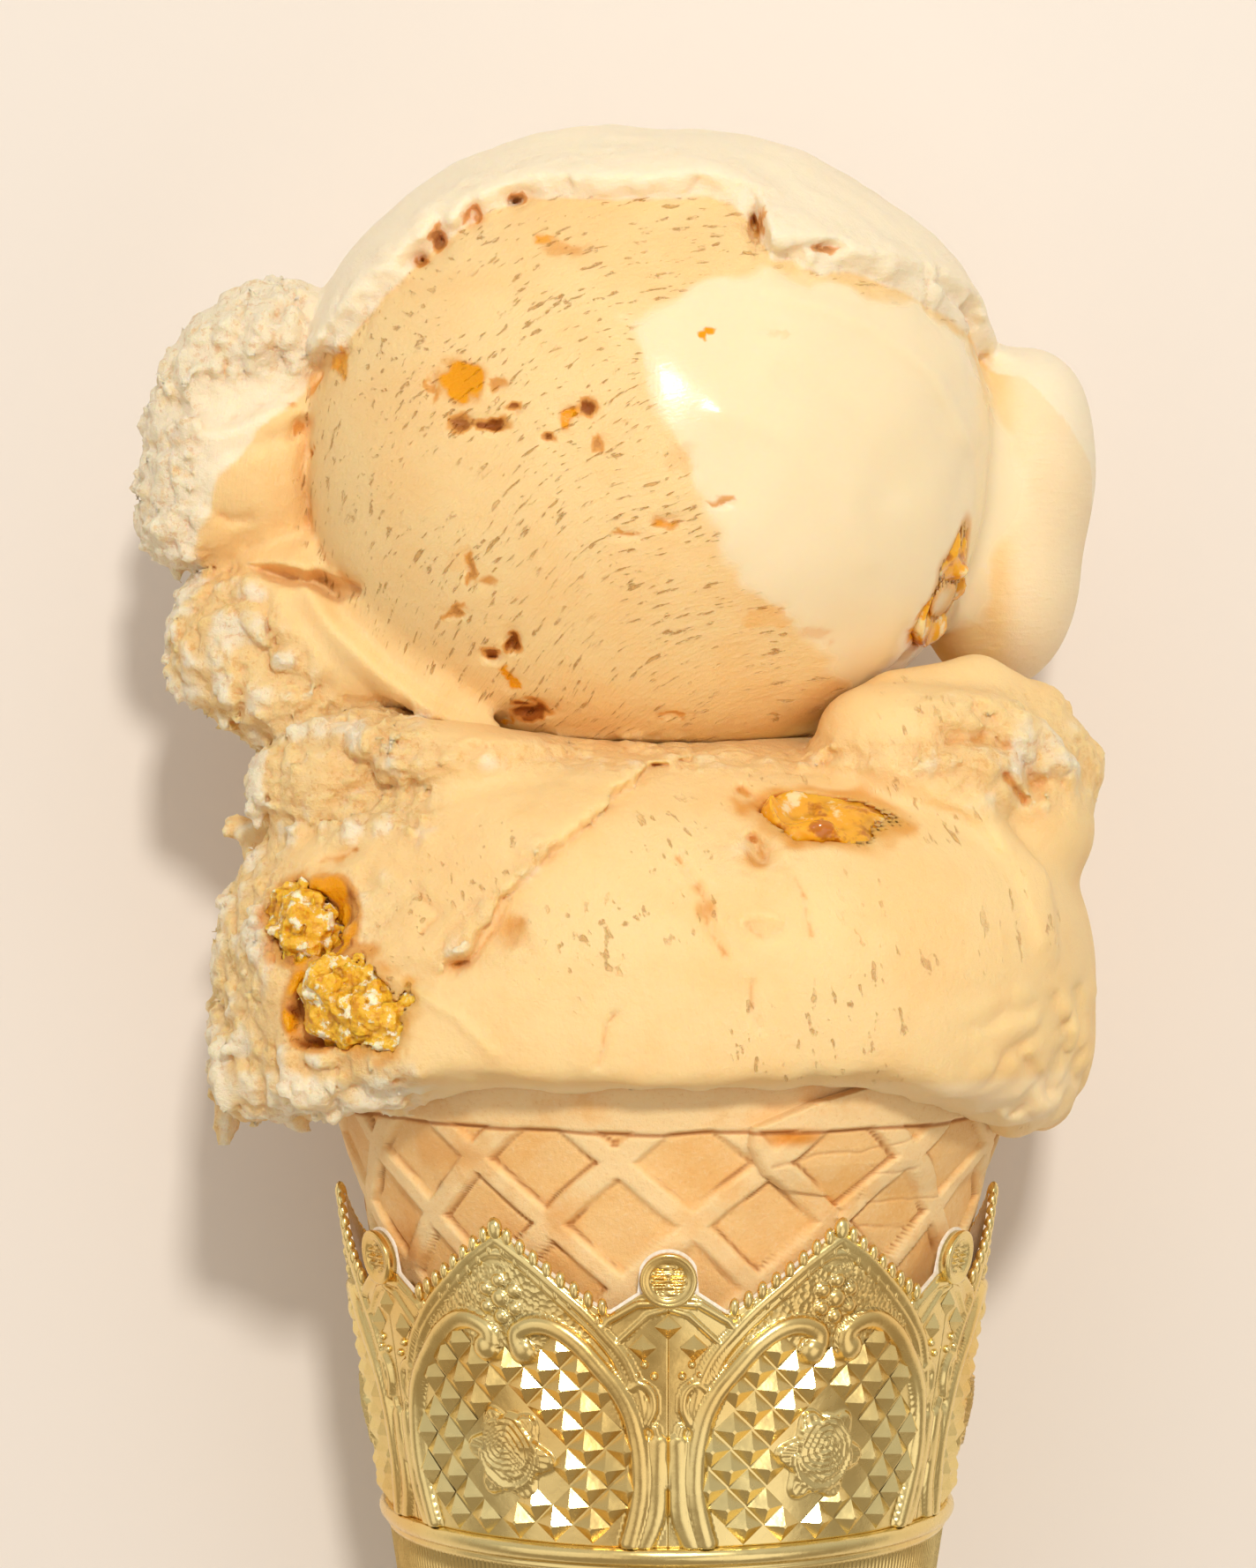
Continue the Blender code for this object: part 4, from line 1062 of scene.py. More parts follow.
@dataclass
class LowerScoop(Scoop):
    """The lower scoop, spread over the rim and pressed into the cone's mouth."""

    name: str = "lower_scoop"
    low: Triple = (-48.0, -33.0, -42.0)
    high: Triple = (45.0, 30.0, 43.0)
    upper: UpperScoop = None
    body: Lump = SPREAD
    dome: Lump = Lump((7.0, -4.6, 5.0), (34.5, 23.2, 36.0))
    facet_point: Triple = (-12.0, 8.0, 36.3)
    facet_facing: Triple = (-0.42, 0.42, 0.80)
    skirt_front_y: float = -11.6
    skirt_drop: float = 6.2
    plug_end_y: float = -30.0
    collar: tuple = (
        Lump((25.0, 17.6, 17.5), (11.0, 6.4, 10.0), -12.0),
        Lump((33.0, 12.0, 10.0), (7.5, 9.0, 12.0), 30.0),
        Lump((-31.0, 15.4, 9.0), (9.5, 6.5, 13.0), 20.0),
        Lump((-20.0, 17.0, 20.0), (10.0, 3.6, 7.0), -8.0),
        Lump((0.0, 18.5, -24.0), (25.0, 8.0, 9.0)), Lump((-38.0, -13.0, 14.0), (5.5, 4.5, 9.0)),
        Lump((-29.0, -11.8, 27.0), (6.6, 3.6, 4.5), 8.0))
    curl: tuple = (
        (22.0, 22.4, 16.0, 3.2), (29.5, 23.0, 14.0, 3.8), (35.2, 20.4, 12.0, 3.7),
        (38.2, 16.4, 10.5, 3.6), (38.3, 13.4, 9.5, 3.1))
    spur: tuple = ((-38.6, 9.0, 6.0, 3.0), (-42.3, 10.0, 5.0, 1.1))
    drip: tuple = ((-43.0, -14.5, 4.0, 1.9), (-43.3, -19.2, 5.0, 1.4))
    ridge: tuple = (
        (20.7, 16.5, 25.6, 1.5), (28.2, 12.3, 24.4, 1.7), (33.6, 5.7, 25.0, 1.6),
        (34.4, 0.1, 27.4, 1.0))
    tears: tuple = (
        ((2.4, 6.2, 38.8, 0.4), (3.2, 4.1, 39.8, 0.6), (4.3, 1.2, 41.0, 0.3)),
        ((8.0, 9.1, 36.6, 1.0), (9.0, 9.8, 36.0, 0.7)),
        ((7.3, 13.4, 32.2, 1.0), (6.2, 14.2, 31.0, 0.6)),
        ((-28.2, 7.6, 31.0, 0.5), (-25.0, 8.6, 32.8, 0.4)),
        ((-14.6, 2.0, 38.2, 0.9), (-14.0, 2.6, 38.2, 0.5)))
    pocket: tuple = (
        Lump((-34.0, 3.0, 31.0), (4.6, 4.6, 5.4), 12.0),
        Lump((-33.0, -5.5, 31.5), (3.0, 3.4, 4.0), -14.0))
    # Folds and grooves: half width, depth, share of painted shade along the groove, and the path's
    # X and Y
    lines: tuple = (
        (1.3, -1.1, 0.0, ((25.1, 22.1), (28.7, 23.2), (33.1, 22.2), (36.8, 19.3), (38.4, 15.8))),
        (1.0, 1.9, 0.5, ((26.0, 19.1), (29.8, 19.3), (32.6, 17.9), (34.6, 14.9))),
        (0.6, 1.2, 0.7, ((31.6, 15.6), (32.4, 14.6), (33.4, 13.3))),
        (0.8, -0.45, 0.0, ((28.6, 14.2), (30.0, 11.9), (31.3, 9.2))),
        (0.9, -0.4, 0.0, ((21.1, 16.3), (28.1, 12.4), (33.1, 7.0), (34.6, 0.4))),
        (0.7, 0.6, 0.0, ((35.8, -5.0), (37.6, -9.3), (35.8, -14.0))),
        (0.7, 0.6, 0.0, ((32.3, -9.8), (34.7, -12.9), (32.3, -15.9))),
        (0.7, 0.5, 0.0, ((38.5, -4.8), (39.6, -8.1), (38.5, -12.8))),
        (1.0, -0.6, 0.0, ((-24.0, 16.5), (-18.2, 18.7), (-11.5, 19.0), (-4.8, 18.0))),
        (0.6, 0.6, 0.6, ((-32.5, 7.4), (-31.0, 7.8), (-29.2, 8.6))),
        (0.6, 0.6, 0.35, ((-15.5, 2.8), (-17.0, 0.6), (-19.1, -1.2))),
        (0.7, 1.0, 0.9, ((-19.6, -1.4), (-18.8, -0.9))),
        (0.4, 0.6, 0.5, ((-5.0, -5.5), (-5.8, -7.5), (-6.4, -10.1))),
        (0.4, 0.5, 0.5, ((0.8, 8.4), (2.0, 6.5), (3.2, 4.9), (3.4, 2.5), (4.8, -0.0))),
        (0.6, 0.9, 0.8, ((6.7, 14.2), (8.3, 13.3))), (0.6, 1.1, 1.0, ((7.7, 9.9), (8.2, 8.6))),
        (0.4, 0.4, 0.4, ((7.2, 2.3), (8.6, 1.5), (10.0, 2.1))),
        (0.5, -0.4, 0.0, ((6.2, 2.9), (8.0, 3.7), (9.7, 3.2))),
        (0.35, 0.35, 0.35, ((7.2, -2.3), (7.3, -4.7), (7.8, -6.4))),
        (0.35, 0.35, 0.35, ((11.6, 6.4), (12.4, 4.0), (12.8, 1.6))),
        (0.5, 0.4, 0.3, ((-23.5, 5.4), (-20.9, 3.1), (-22.6, 1.4))),
        (0.6, -0.4, 0.0, ((-31.0, -1.4), (-25.1, -2.7), (-19.3, -5.8), (-16.1, -9.0))))
    # Ragged edge where the left stroke lies on the middle one: X against Y
    stroke_edge: tuple = (
        (-4.0, -22.0), (-1.7, -20.1), (4.7, -16.1), (7.5, -12.9), (10.3, -9.7), (13.8, -5.6),
        (16.8, -1.5), (18.0, 8.6))

    def skirt_edge(self, point: Point) -> np.ndarray:
        """Y of the lower edge of the ice cream that hangs over the rim."""
        x, _, z = point
        side = 1.0 - np.clip(z / 38.0, 0.0, 1.0) ** 2
        wave = 0.8 * noise((x, 0.0 * x, z), 9.0, 31) + 0.3 * noise((x, 0.0 * x, z), 2.6, 32)
        return (self.skirt_front_y - self.skirt_drop * side
                - 1.8 * rise(x, 18.0, 33.0) * side + wave)

    def stroke_side(self, point: Point) -> np.ndarray:
        """How far a place lies to the left of the edge between the two strokes."""
        return np.interp(point[1], *zip(*self.stroke_edge)) - point[0]

    def torn(self, point: Point) -> np.ndarray:
        """How rough the ice cream is torn, also along the edge between the two strokes."""
        edge = np.exp(-((self.stroke_side(point) - 0.6) / 1.9) ** 2) * (point[2] > 18.0)
        edge = edge * rise(point[1], -4.0, 0.0) * rise(-point[1], -15.0, -10.0)
        edge = edge * rise(noise(point, 4.0, 39), -0.6, 0.2)
        return np.maximum(super().torn(point), 0.85 * edge)

    def facet(self, point: Point) -> np.ndarray:
        """Distance in front of the scooped face at the upper left."""
        return sum((self.facet_point[i] - point[i]) * self.facet_facing[i] for i in range(3))

    def shape(self, point: Point) -> np.ndarray:
        """Distance to the scoop."""
        x, y, z = point
        body = cut(self.body.field(point), self.facet(point), 2.0)
        body = union(body, self.dome.field(point), 0.5)
        body = cut(body, y - self.skirt_edge(point), 1.6)
        body = union(body, lumps(point, self.collar, 2.0), 2.4)
        for path in (self.curl, self.spur, self.drip):
            body = union(body, bar(point, path), 1.4)
        body = union(body, bar(point, self.ridge), 2.5)
        hollow = lumps(point, self.pocket, 1.0) - 1.3 * (crumbs(point, 3.0, 33) - 0.5)
        body = cut(body, hollow, 0.4)
        side = self.stroke_side(point)
        side = side + 1.2 * noise(point, 2.6, 37) + 0.7 * (crumbs(point, 1.5, 38) - 0.5)
        held = rise(y, -3.5, 0.0) * rise(-y, -18.5, -15.5) * rise(z, 16.0, 22.0)
        step = rise(side, -0.5, 0.5) * (1.0 - rise(side, 1.5, 14.0))
        body = body - held * (1.3 * step - 0.3 * np.exp(-((side + 0.6) / 0.8) ** 2))
        ruffle = rise(x, 24.0, 32.0) * rise(-y, 1.0, 7.0) * rise(z, 4.0, 14.0)
        folds = np.abs(noise((x * 0.6 + y * 0.2, y - x * 0.25, z), 3.1, 35)) - 0.3
        body = body - self.relief(point) - 1.1 * ruffle * folds
        for path in self.tears:
            ragged = bar(point, path, 0.3) - 0.35 * noise(point, 0.9, 36)
            body = cut(body, ragged, 0.3)
        radius, wall = np.hypot(x, z), waffle_radius(y)
        plug_radius = wall - 3.1
        plug = np.maximum(radius - plug_radius, self.plug_end_y - y)
        body = np.minimum(body, np.maximum(plug, y - self.skirt_front_y - 4.0))
        ring = np.maximum(radius - wall - 2.1, plug_radius - radius)
        body = np.maximum(body, -np.maximum(ring, y + 11.5))
        body = np.maximum(body, CLEARANCE - self.upper.shape(point))
        return np.maximum(body, -chunk_space(point, CLEARANCE))

    def stroke(self, places: np.ndarray) -> np.ndarray:
        """Coordinates on circles round a place at the lower left, and across them."""
        x, y, z = places.T
        away = np.hypot(x + 45.0, y + 15.0)
        turn = np.arctan2(y + 15.0, x + 45.0)
        wobble = noise(places.T, 8.0, 81)
        return np.stack((turn * 55.0 * 0.5, (away + wobble) * 1.2, z * 0.35), 1)

    def values(self, point: Point) -> dict[str, np.ndarray]:
        """Stored numbers that the material reads, for each point."""
        x, y, z = point
        torn = self.torn(point)
        stain_and_shade = np.zeros(len(x))
        # Painted shade round the tears
        for path in self.tears:
            for px, py, pz, size in path:
                stain_and_shade = np.maximum(stain_and_shade, 0.55 * spot(point, (px, py, pz), size * 1.7))
        # Painted shade in the pocket's hollow; the amber there is caramel
        hollow = np.minimum.reduce([piece.field(point, 0.8) for piece in self.pocket])
        stain_and_shade = np.maximum(stain_and_shade, 0.75 * rise(-hollow, -0.6, 0.6))
        near = rise(-chunk_space(point, 0.0), -2.6, 0.0)
        # Caramel stain near the chunks, and painted shade along the grooves
        stain_and_shade = np.maximum.reduce([stain_and_shade, 0.45 * near, self.grooves(point)[1]])
        stain_and_shade = np.clip(stain_and_shade * (1.0 + 0.6 * noise(point, 1.6, 83)), 0.0, 1.0)
        amber = np.clip(0.9 * rise(-hollow, -0.3, 0.8) * rise(noise(point, 1.8, 85), -0.3, 0.5)
                        + 0.5 * near * rise(noise(point, 1.5, 86), 0.1, 0.7), 0.0, 1.0)
        # The lip's pale colour, from its relief and melt shares, is partly the melted skin's own
        # colour and partly a painted highlight along the rolled edge
        lip = rise(-y, 11.2, 12.8) * rise(z, 10.0, 25.0)
        # Relief below 0 marks the creases between crumbs, where the material paints shade
        relief = (crumbs(point, 3.3, 11) - 0.4) * torn * 1.6 + 0.4 * lip
        pores = 0.7 * (1.0 - torn) * (1.0 - lip) * rise(noise(point, 9.0, 84), -0.1, 0.3)
        return {"melt": 0.35 * lip, "torn": torn, "stain_and_shade": stain_and_shade, "amber": amber,
                "relief": relief, "pores": pores}


def grid_faces(corner: np.ndarray) -> np.ndarray:
    """Triangles between the point numbers of a grid, as rows of three."""
    a, b, c, d = corner[:-1, :-1], corner[:-1, 1:], corner[1:, 1:], corner[1:, :-1]
    return np.concatenate([np.stack(face, -1).reshape(-1, 3) for face in ((a, d, c), (a, c, b))])


def closed_solid(rings: Sequence[np.ndarray]) -> tuple[np.ndarray, np.ndarray]:
    """Join rings in order from one tip, or from the last ring back to the first.

    Args:
        rings: Rings of points, all of one length, but for tips of a single point.

    Returns:
        The points and triangles of a closed body.
    """
    starts = np.cumsum([0] + [len(ring) for ring in rings])
    faces = []
    for i, ring in enumerate(rings):
        k = (i + 1) % len(rings)
        other = rings[k]
        if len(ring) == 1 and len(other) == 1:
            continue
        size = max(len(ring), len(other))
        here = starts[i] + (np.arange(size) if len(ring) > 1 else np.zeros(size, dtype=int))
        there = starts[k] + (np.arange(size) if len(other) > 1 else np.zeros(size, dtype=int))
        if len(ring) > 1:
            faces.append(np.stack((here, there, np.roll(here, -1)), 1))
        if len(other) > 1:
            faces.append(np.stack((np.roll(here, -1), there, np.roll(there, -1)), 1))
    return np.concatenate(rings), np.concatenate(faces)


def facing_out(mesh: bpy.types.Mesh) -> bpy.types.Mesh:
    """Turn every face of a closed mesh outwards."""
    shape = bmesh.new()
    shape.from_mesh(mesh)
    bmesh.ops.recalc_face_normals(shape, faces=shape.faces)
    shape.to_mesh(mesh)
    shape.free()
    return mesh


def solid(name: str, rings: Sequence[np.ndarray], material: bpy.types.Material,
          smooth: bool = True) -> bpy.types.Object:
    """Make an object of the closed body that rings enclose."""
    mesh = facing_out(to_mesh(name, *closed_solid(rings)))
    return add_object(name, mesh, material, smooth)


def place(item: bpy.types.Object, finish: Finish, node: str) -> bpy.types.Object:
    """Let a finished piece ride on the body in place of its CAD node."""
    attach(item, BODY)
    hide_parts(node)
    LOG.info("%s: %d faces", item.name, len(item.data.polygons))
    return item


@dataclass
class WaffleCone:
    """The rolled waffle cone: a free edge over the layer below and crossed ridges."""

    rim_y: float = -12.0
    tip_y: float = -138.0
    wall: float = 2.2
    band_y: float = -16.8
    relief_end_y: float = -42.0
    row_step: float = 0.34
    columns: int = 470
    cells_around: int = 14
    cell_height: float = 12.2
    crossing: tuple[float, float] = (-8.6, -20.0)
    ridge_height: float = 0.32
    cell_floor: float = -0.34
    ridge_half_width: float = 1.1
    seam: tuple = (
        (-138.0, 110.0), (-38.0, 60.0), (-30.0, 44.0), (-26.2, 30.5), (-25.0, 31.0), (-23.6, 28.0),
        (-22.7, 19.5), (-21.1, 15.2), (-18.4, 12.6), (-16.5, 13.0), (-14.4, 22.0), (-12.0, 38.0))
    layer_step: float = 1.4
    layer_step_in_sleeve: float = 0.45
    layer_fade_turn: float = 260.0
    # Cracks and folds: angle and Y of each end, and half width
    cracks: tuple = (
        (16.5, -20.3, 24.0, -19.4, 0.2), (24.0, -19.4, 33.0, -19.3, 0.16),
        (33.0, -19.3, 44.0, -18.2, 0.12), (36.0, -21.6, 45.0, -21.4, 0.16),
        (34.0, -24.0, 35.5, -21.0, 0.12), (36.0, -24.4, 56.0, -24.8, 0.14),
        (32.0, -26.6, 50.0, -27.4, 0.14))

    def seam_angle(self, y: np.ndarray) -> np.ndarray:
        """Angle of the outer layer's free edge at a place along the cone."""
        return np.interp(y, *zip(*self.seam))

    def pattern(self, angle: np.ndarray, y: np.ndarray) -> tuple[np.ndarray, np.ndarray]:
        """How much of a ridge, and of a crease beside one, each place has.

        Args:
            angle: Angle from the front in degrees.
            y: Place along the cone.

        Returns:
            The ridge and the crease, each from 0 to 1.
        """
        around = (angle - self.crossing[0]) / 360.0 * self.cells_around
        along = (self.crossing[1] - y) / self.cell_height
        flat = (np.radians(angle) * 32.0, y, 0.0 * y)
        wander = 0.05 * noise(flat, 7.0, 91)
        across = self.cell_height * 0.76
        ridge = np.zeros(np.shape(y))
        shaded_crease = np.zeros(np.shape(y))
        for position in (around + along + wander, around - along + wander):
            gap = np.abs(position - np.round(position)) * across
            ridge = np.maximum(ridge, 1.0 - rise(gap, self.ridge_half_width * 0.72,
                                                 self.ridge_half_width * 1.3))
            # A crease beside each ridge, which the material darkens as painted shade
            line = np.exp(-((gap - self.ridge_half_width * 1.25) / 0.2) ** 2)
            shaded_crease = np.maximum(shaded_crease, line)
        shaded_crease = shaded_crease * (1.0 - rise(ridge, 0.5, 0.9))
        edge = self.band_y + 0.25 * noise(flat, 5.0, 92)
        band = rise(y, edge - 0.35, edge + 0.1)
        shaded_crease = shaded_crease * (1.0 - band) * rise(noise(flat, 3.0, 93), -0.7, 0.5)
        shaded_crease = np.maximum(shaded_crease, np.exp(-((y - edge + 0.35) / 0.22) ** 2))
        # Cracks count as creases too, and get the same painted shade
        for x0, y0, x1, y1, half in self.cracks:
            start = np.array((math.radians(x0) * 33.0, y0))
            step = np.array((math.radians(x1) * 33.0, y1)) - start
            dx, dy = np.radians(angle) * 33.0 - start[0], y - start[1]
            t = np.clip((dx * step[0] + dy * step[1]) / (step @ step), 0.0, 1.0)
            gap = np.hypot(dx - t * step[0], dy - t * step[1] + 0.15 * noise(flat, 1.5, 94))
            shaded_crease = np.maximum(shaded_crease, 0.5 * np.exp(-(gap / (half * 1.3)) ** 2))
        return np.maximum(ridge, band), shaded_crease

    def build(self, finish: Finish) -> bpy.types.Object:
        """Make the waffle cone and dress it."""
        turns = np.concatenate((np.linspace(0.0, 3.0, 14)[:-1],
                                np.linspace(3.0, 360.0, self.columns)))
        rows = np.concatenate((np.arange(self.rim_y, -16.5, -self.row_step),
                               np.arange(-16.5, -27.0, -0.3 * self.row_step),
                               np.arange(-27.0, self.relief_end_y, -self.row_step),
                               (-48.0, -60.0, -80.0, -100.0, -120.0)))
        turn, y = np.meshgrid(turns, rows)
        angle = self.seam_angle(y) + turn
        ridge, shaded_crease = self.pattern(angle, y)
        fade = rise(y, self.relief_end_y + 0.5, self.relief_end_y + 6.0)
        flat = (np.radians(angle) * 32.0, y, 0.0 * y)
        relief = self.cell_floor + (self.ridge_height - self.cell_floor) * ridge
        relief = relief - 0.25 * shaded_crease + 0.16 * noise(flat, 9.0, 95) + 0.05 * noise(flat, 1.2, 96)
        step = np.interp(y, (-24.0, -20.5), (self.layer_step_in_sleeve, self.layer_step))
        lift = np.sqrt(1.0 - (1.0 - np.clip(turn / 2.0, 0.0, 1.0)) ** 2)
        layer = step * lift * (1.0 - rise(turn, 0.0, self.layer_fade_turn))
        radius = waffle_radius(y) + layer + relief * fade
        toast = 0.9 * np.exp(-((y + 17.6) / 0.9) ** 2 - ((angle - 20.0) / 5.5) ** 2)
        toast = toast + 0.55 * rise(y, -13.6, -11.9)
        toast = toast + 0.3 * np.exp(-((turn - 4.0) / 5.0) ** 2) * rise(noise(flat, 3.0, 97), 0, 1)
        toast = toast + 0.4 * rise(noise(flat, 5.0, 98), 0.35, 0.9)
        rings = [np.stack((r * np.sin(np.radians(t)), v, r * np.cos(np.radians(t))), 1)
                 for r, t, v in zip(radius, angle, y)]
        rings.append(np.array([(0.0, self.tip_y, 0.0)]))
        rings.append(np.array([(0.0, self.tip_y + self.wall / WAFFLE_SLOPE, 0.0)]))
        for level in (-60.0, -20.0, self.rim_y):
            spread = np.radians(self.seam_angle(level) + turns)
            inner = waffle_radius(level) - self.wall
            rings.append(np.stack((inner * np.sin(spread), np.full(len(spread), level),
                                   inner * np.cos(spread)), 1))
        points, faces = closed_solid(rings)
        mesh = facing_out(to_mesh("waffle_cone", points, faces))
        rest = np.zeros(len(points) - ridge.size)
        for key, values in (("ridge", ridge), ("shaded_crease", shaded_crease), ("toast", toast)):
            set_value(mesh, key, np.concatenate((values.ravel(), rest)))
        item = add_object("waffle_cone_dressed", mesh, finish.material())
        return place(item, finish, "waffle_cone")


class Stud(enum.Enum):
    """The two small forms that repeat over the foil."""

    PYRAMID = "pyramid"
    BEAD = "bead"


@dataclass
class StudBed:
    """Sets one small pressed form on each of many places on the foil."""

    name: str
    stud: Stud
    sides: int = 4
    flat_top: float = 0.12

    def tree(self, material: bpy.types.Material) -> bpy.types.NodeTree:
        """Build the node tree that turns places into studs."""
        tree = bpy.data.node_groups.new(self.name, "GeometryNodeTree")
        face = tree.interface
        for name, way, kind in (("Places", "INPUT", "Geometry"), ("Sides", "INPUT", "Int"),
                                ("Flat top", "INPUT", "Float"), ("Studs", "OUTPUT", "Geometry")):
            face.new_socket(name, in_out=way, socket_type="NodeSocket" + kind)
        given = add_node(tree, "NodeGroupInput", out="Sides")
        places, flat_top = given.node.outputs["Places"], given.node.outputs["Flat top"]
        if self.stud is Stud.PYRAMID:
            form = add_node(tree, "GeometryNodeMeshCone", {},
                            {"Vertices": given, "Radius Top": flat_top, "Radius Bottom": 1.0,
                             "Depth": 1.0}, out="Mesh")
        else:
            rings = add_node(tree, "FunctionNodeIntegerMath", {"operation": "DIVIDE"},
                             {0: given, 1: 2})
            form = add_node(tree, "GeometryNodeMeshUVSphere", {},
                            {"Segments": given, "Rings": rings, "Radius": 1.0}, out="Mesh")
        turn, size = (add_node(tree, "GeometryNodeInputNamedAttribute",
                               {"data_type": "FLOAT_VECTOR"}, {"Name": name}, out="Attribute")
                      for name in ("turn", "size"))
        studs = add_node(tree, "GeometryNodeInstanceOnPoints", {},
                         {"Points": places, "Instance": form, "Rotation": turn, "Scale": size})
        studs = add_node(tree, "GeometryNodeRealizeInstances", {}, {0: studs})
        studs = add_node(tree, "GeometryNodeSetShadeSmooth", {},
                         {0: studs, "Shade Smooth": self.stud is Stud.BEAD})
        studs = add_node(tree, "GeometryNodeSetMaterial", {}, {0: studs, "Material": material})
        add_node(tree, "NodeGroupOutput", {}, {0: studs})
        return tree

    def build(self, places: np.ndarray, turns: np.ndarray, sizes: np.ndarray,
              finish: Finish, node: str) -> bpy.types.Object:
        """Make the studs.

        Args:
            places: Rows of X, Y and Z round the axis, in millimetres.
            turns: Rows of the turns about X, Y and Z, in radians.
            sizes: Rows of the half widths and the height, in millimetres.
            finish: What the studs are made of.
            node: The CAD node that they help to replace.

        Returns:
            The studs as one plain mesh.
        """
        mesh = bpy.data.meshes.new(self.name)
        mesh.from_pydata(in_scene(places).tolist(), [], [])
        set_value(mesh, "turn", turns)
        set_value(mesh, "size", sizes * MM)
        material = finish.material()
        item = add_object(self.name, mesh, material)
        modifier = item.modifiers.new("Studs", "NODES")
        modifier.node_group = self.tree(material)
        values = {"Sides": self.sides, "Flat top": self.flat_top}
        for socket in modifier.node_group.interface.items_tree:
            if socket.in_out == "INPUT" and socket.name in values:
                modifier[socket.identifier] = values[socket.name]
        return place(applied(item), finish, node)


def smooth_path(path: Sequence[tuple[float, float]], pieces: int = 5) -> list:
    """Round a path's corners by running a smooth curve through its points."""
    ends = [path[0], *path, path[-1]]
    result = []
    for p0, p1, p2, p3 in zip(ends, ends[1:], ends[2:], ends[3:]):
        for step in range(pieces):
            t = step / pieces
            result.append(tuple(
                0.5 * (2 * b + (c - a) * t + (2 * a - 5 * b + 4 * c - d) * t * t
                       + (3 * b - a - 3 * c + d) * t ** 3)
                for a, b, c, d in zip(p0, p1, p2, p3)))
    return result + [tuple(path[-1])]


def dome(gap: np.ndarray, radius: float, height: float) -> np.ndarray:
    """Round bead or ridge over a gap from its middle."""
    return height * np.sqrt(np.maximum(1.0 - (gap / radius) ** 2, 0.0))


# The medallion's frame on the unrolled foil: across from the arch's middle, and Y
VOLUTE = ((1.5, -37.4), (1.7, -36.3), (3.5, -35.5), (5.5, -35.8), (7.6, -37.2), (9.5, -39.4),
          (11.2, -41.7), (12.2, -44.2), (12.6, -47.4), (12.5, -50.6), (11.9, -53.4),
          (11.0, -56.2))


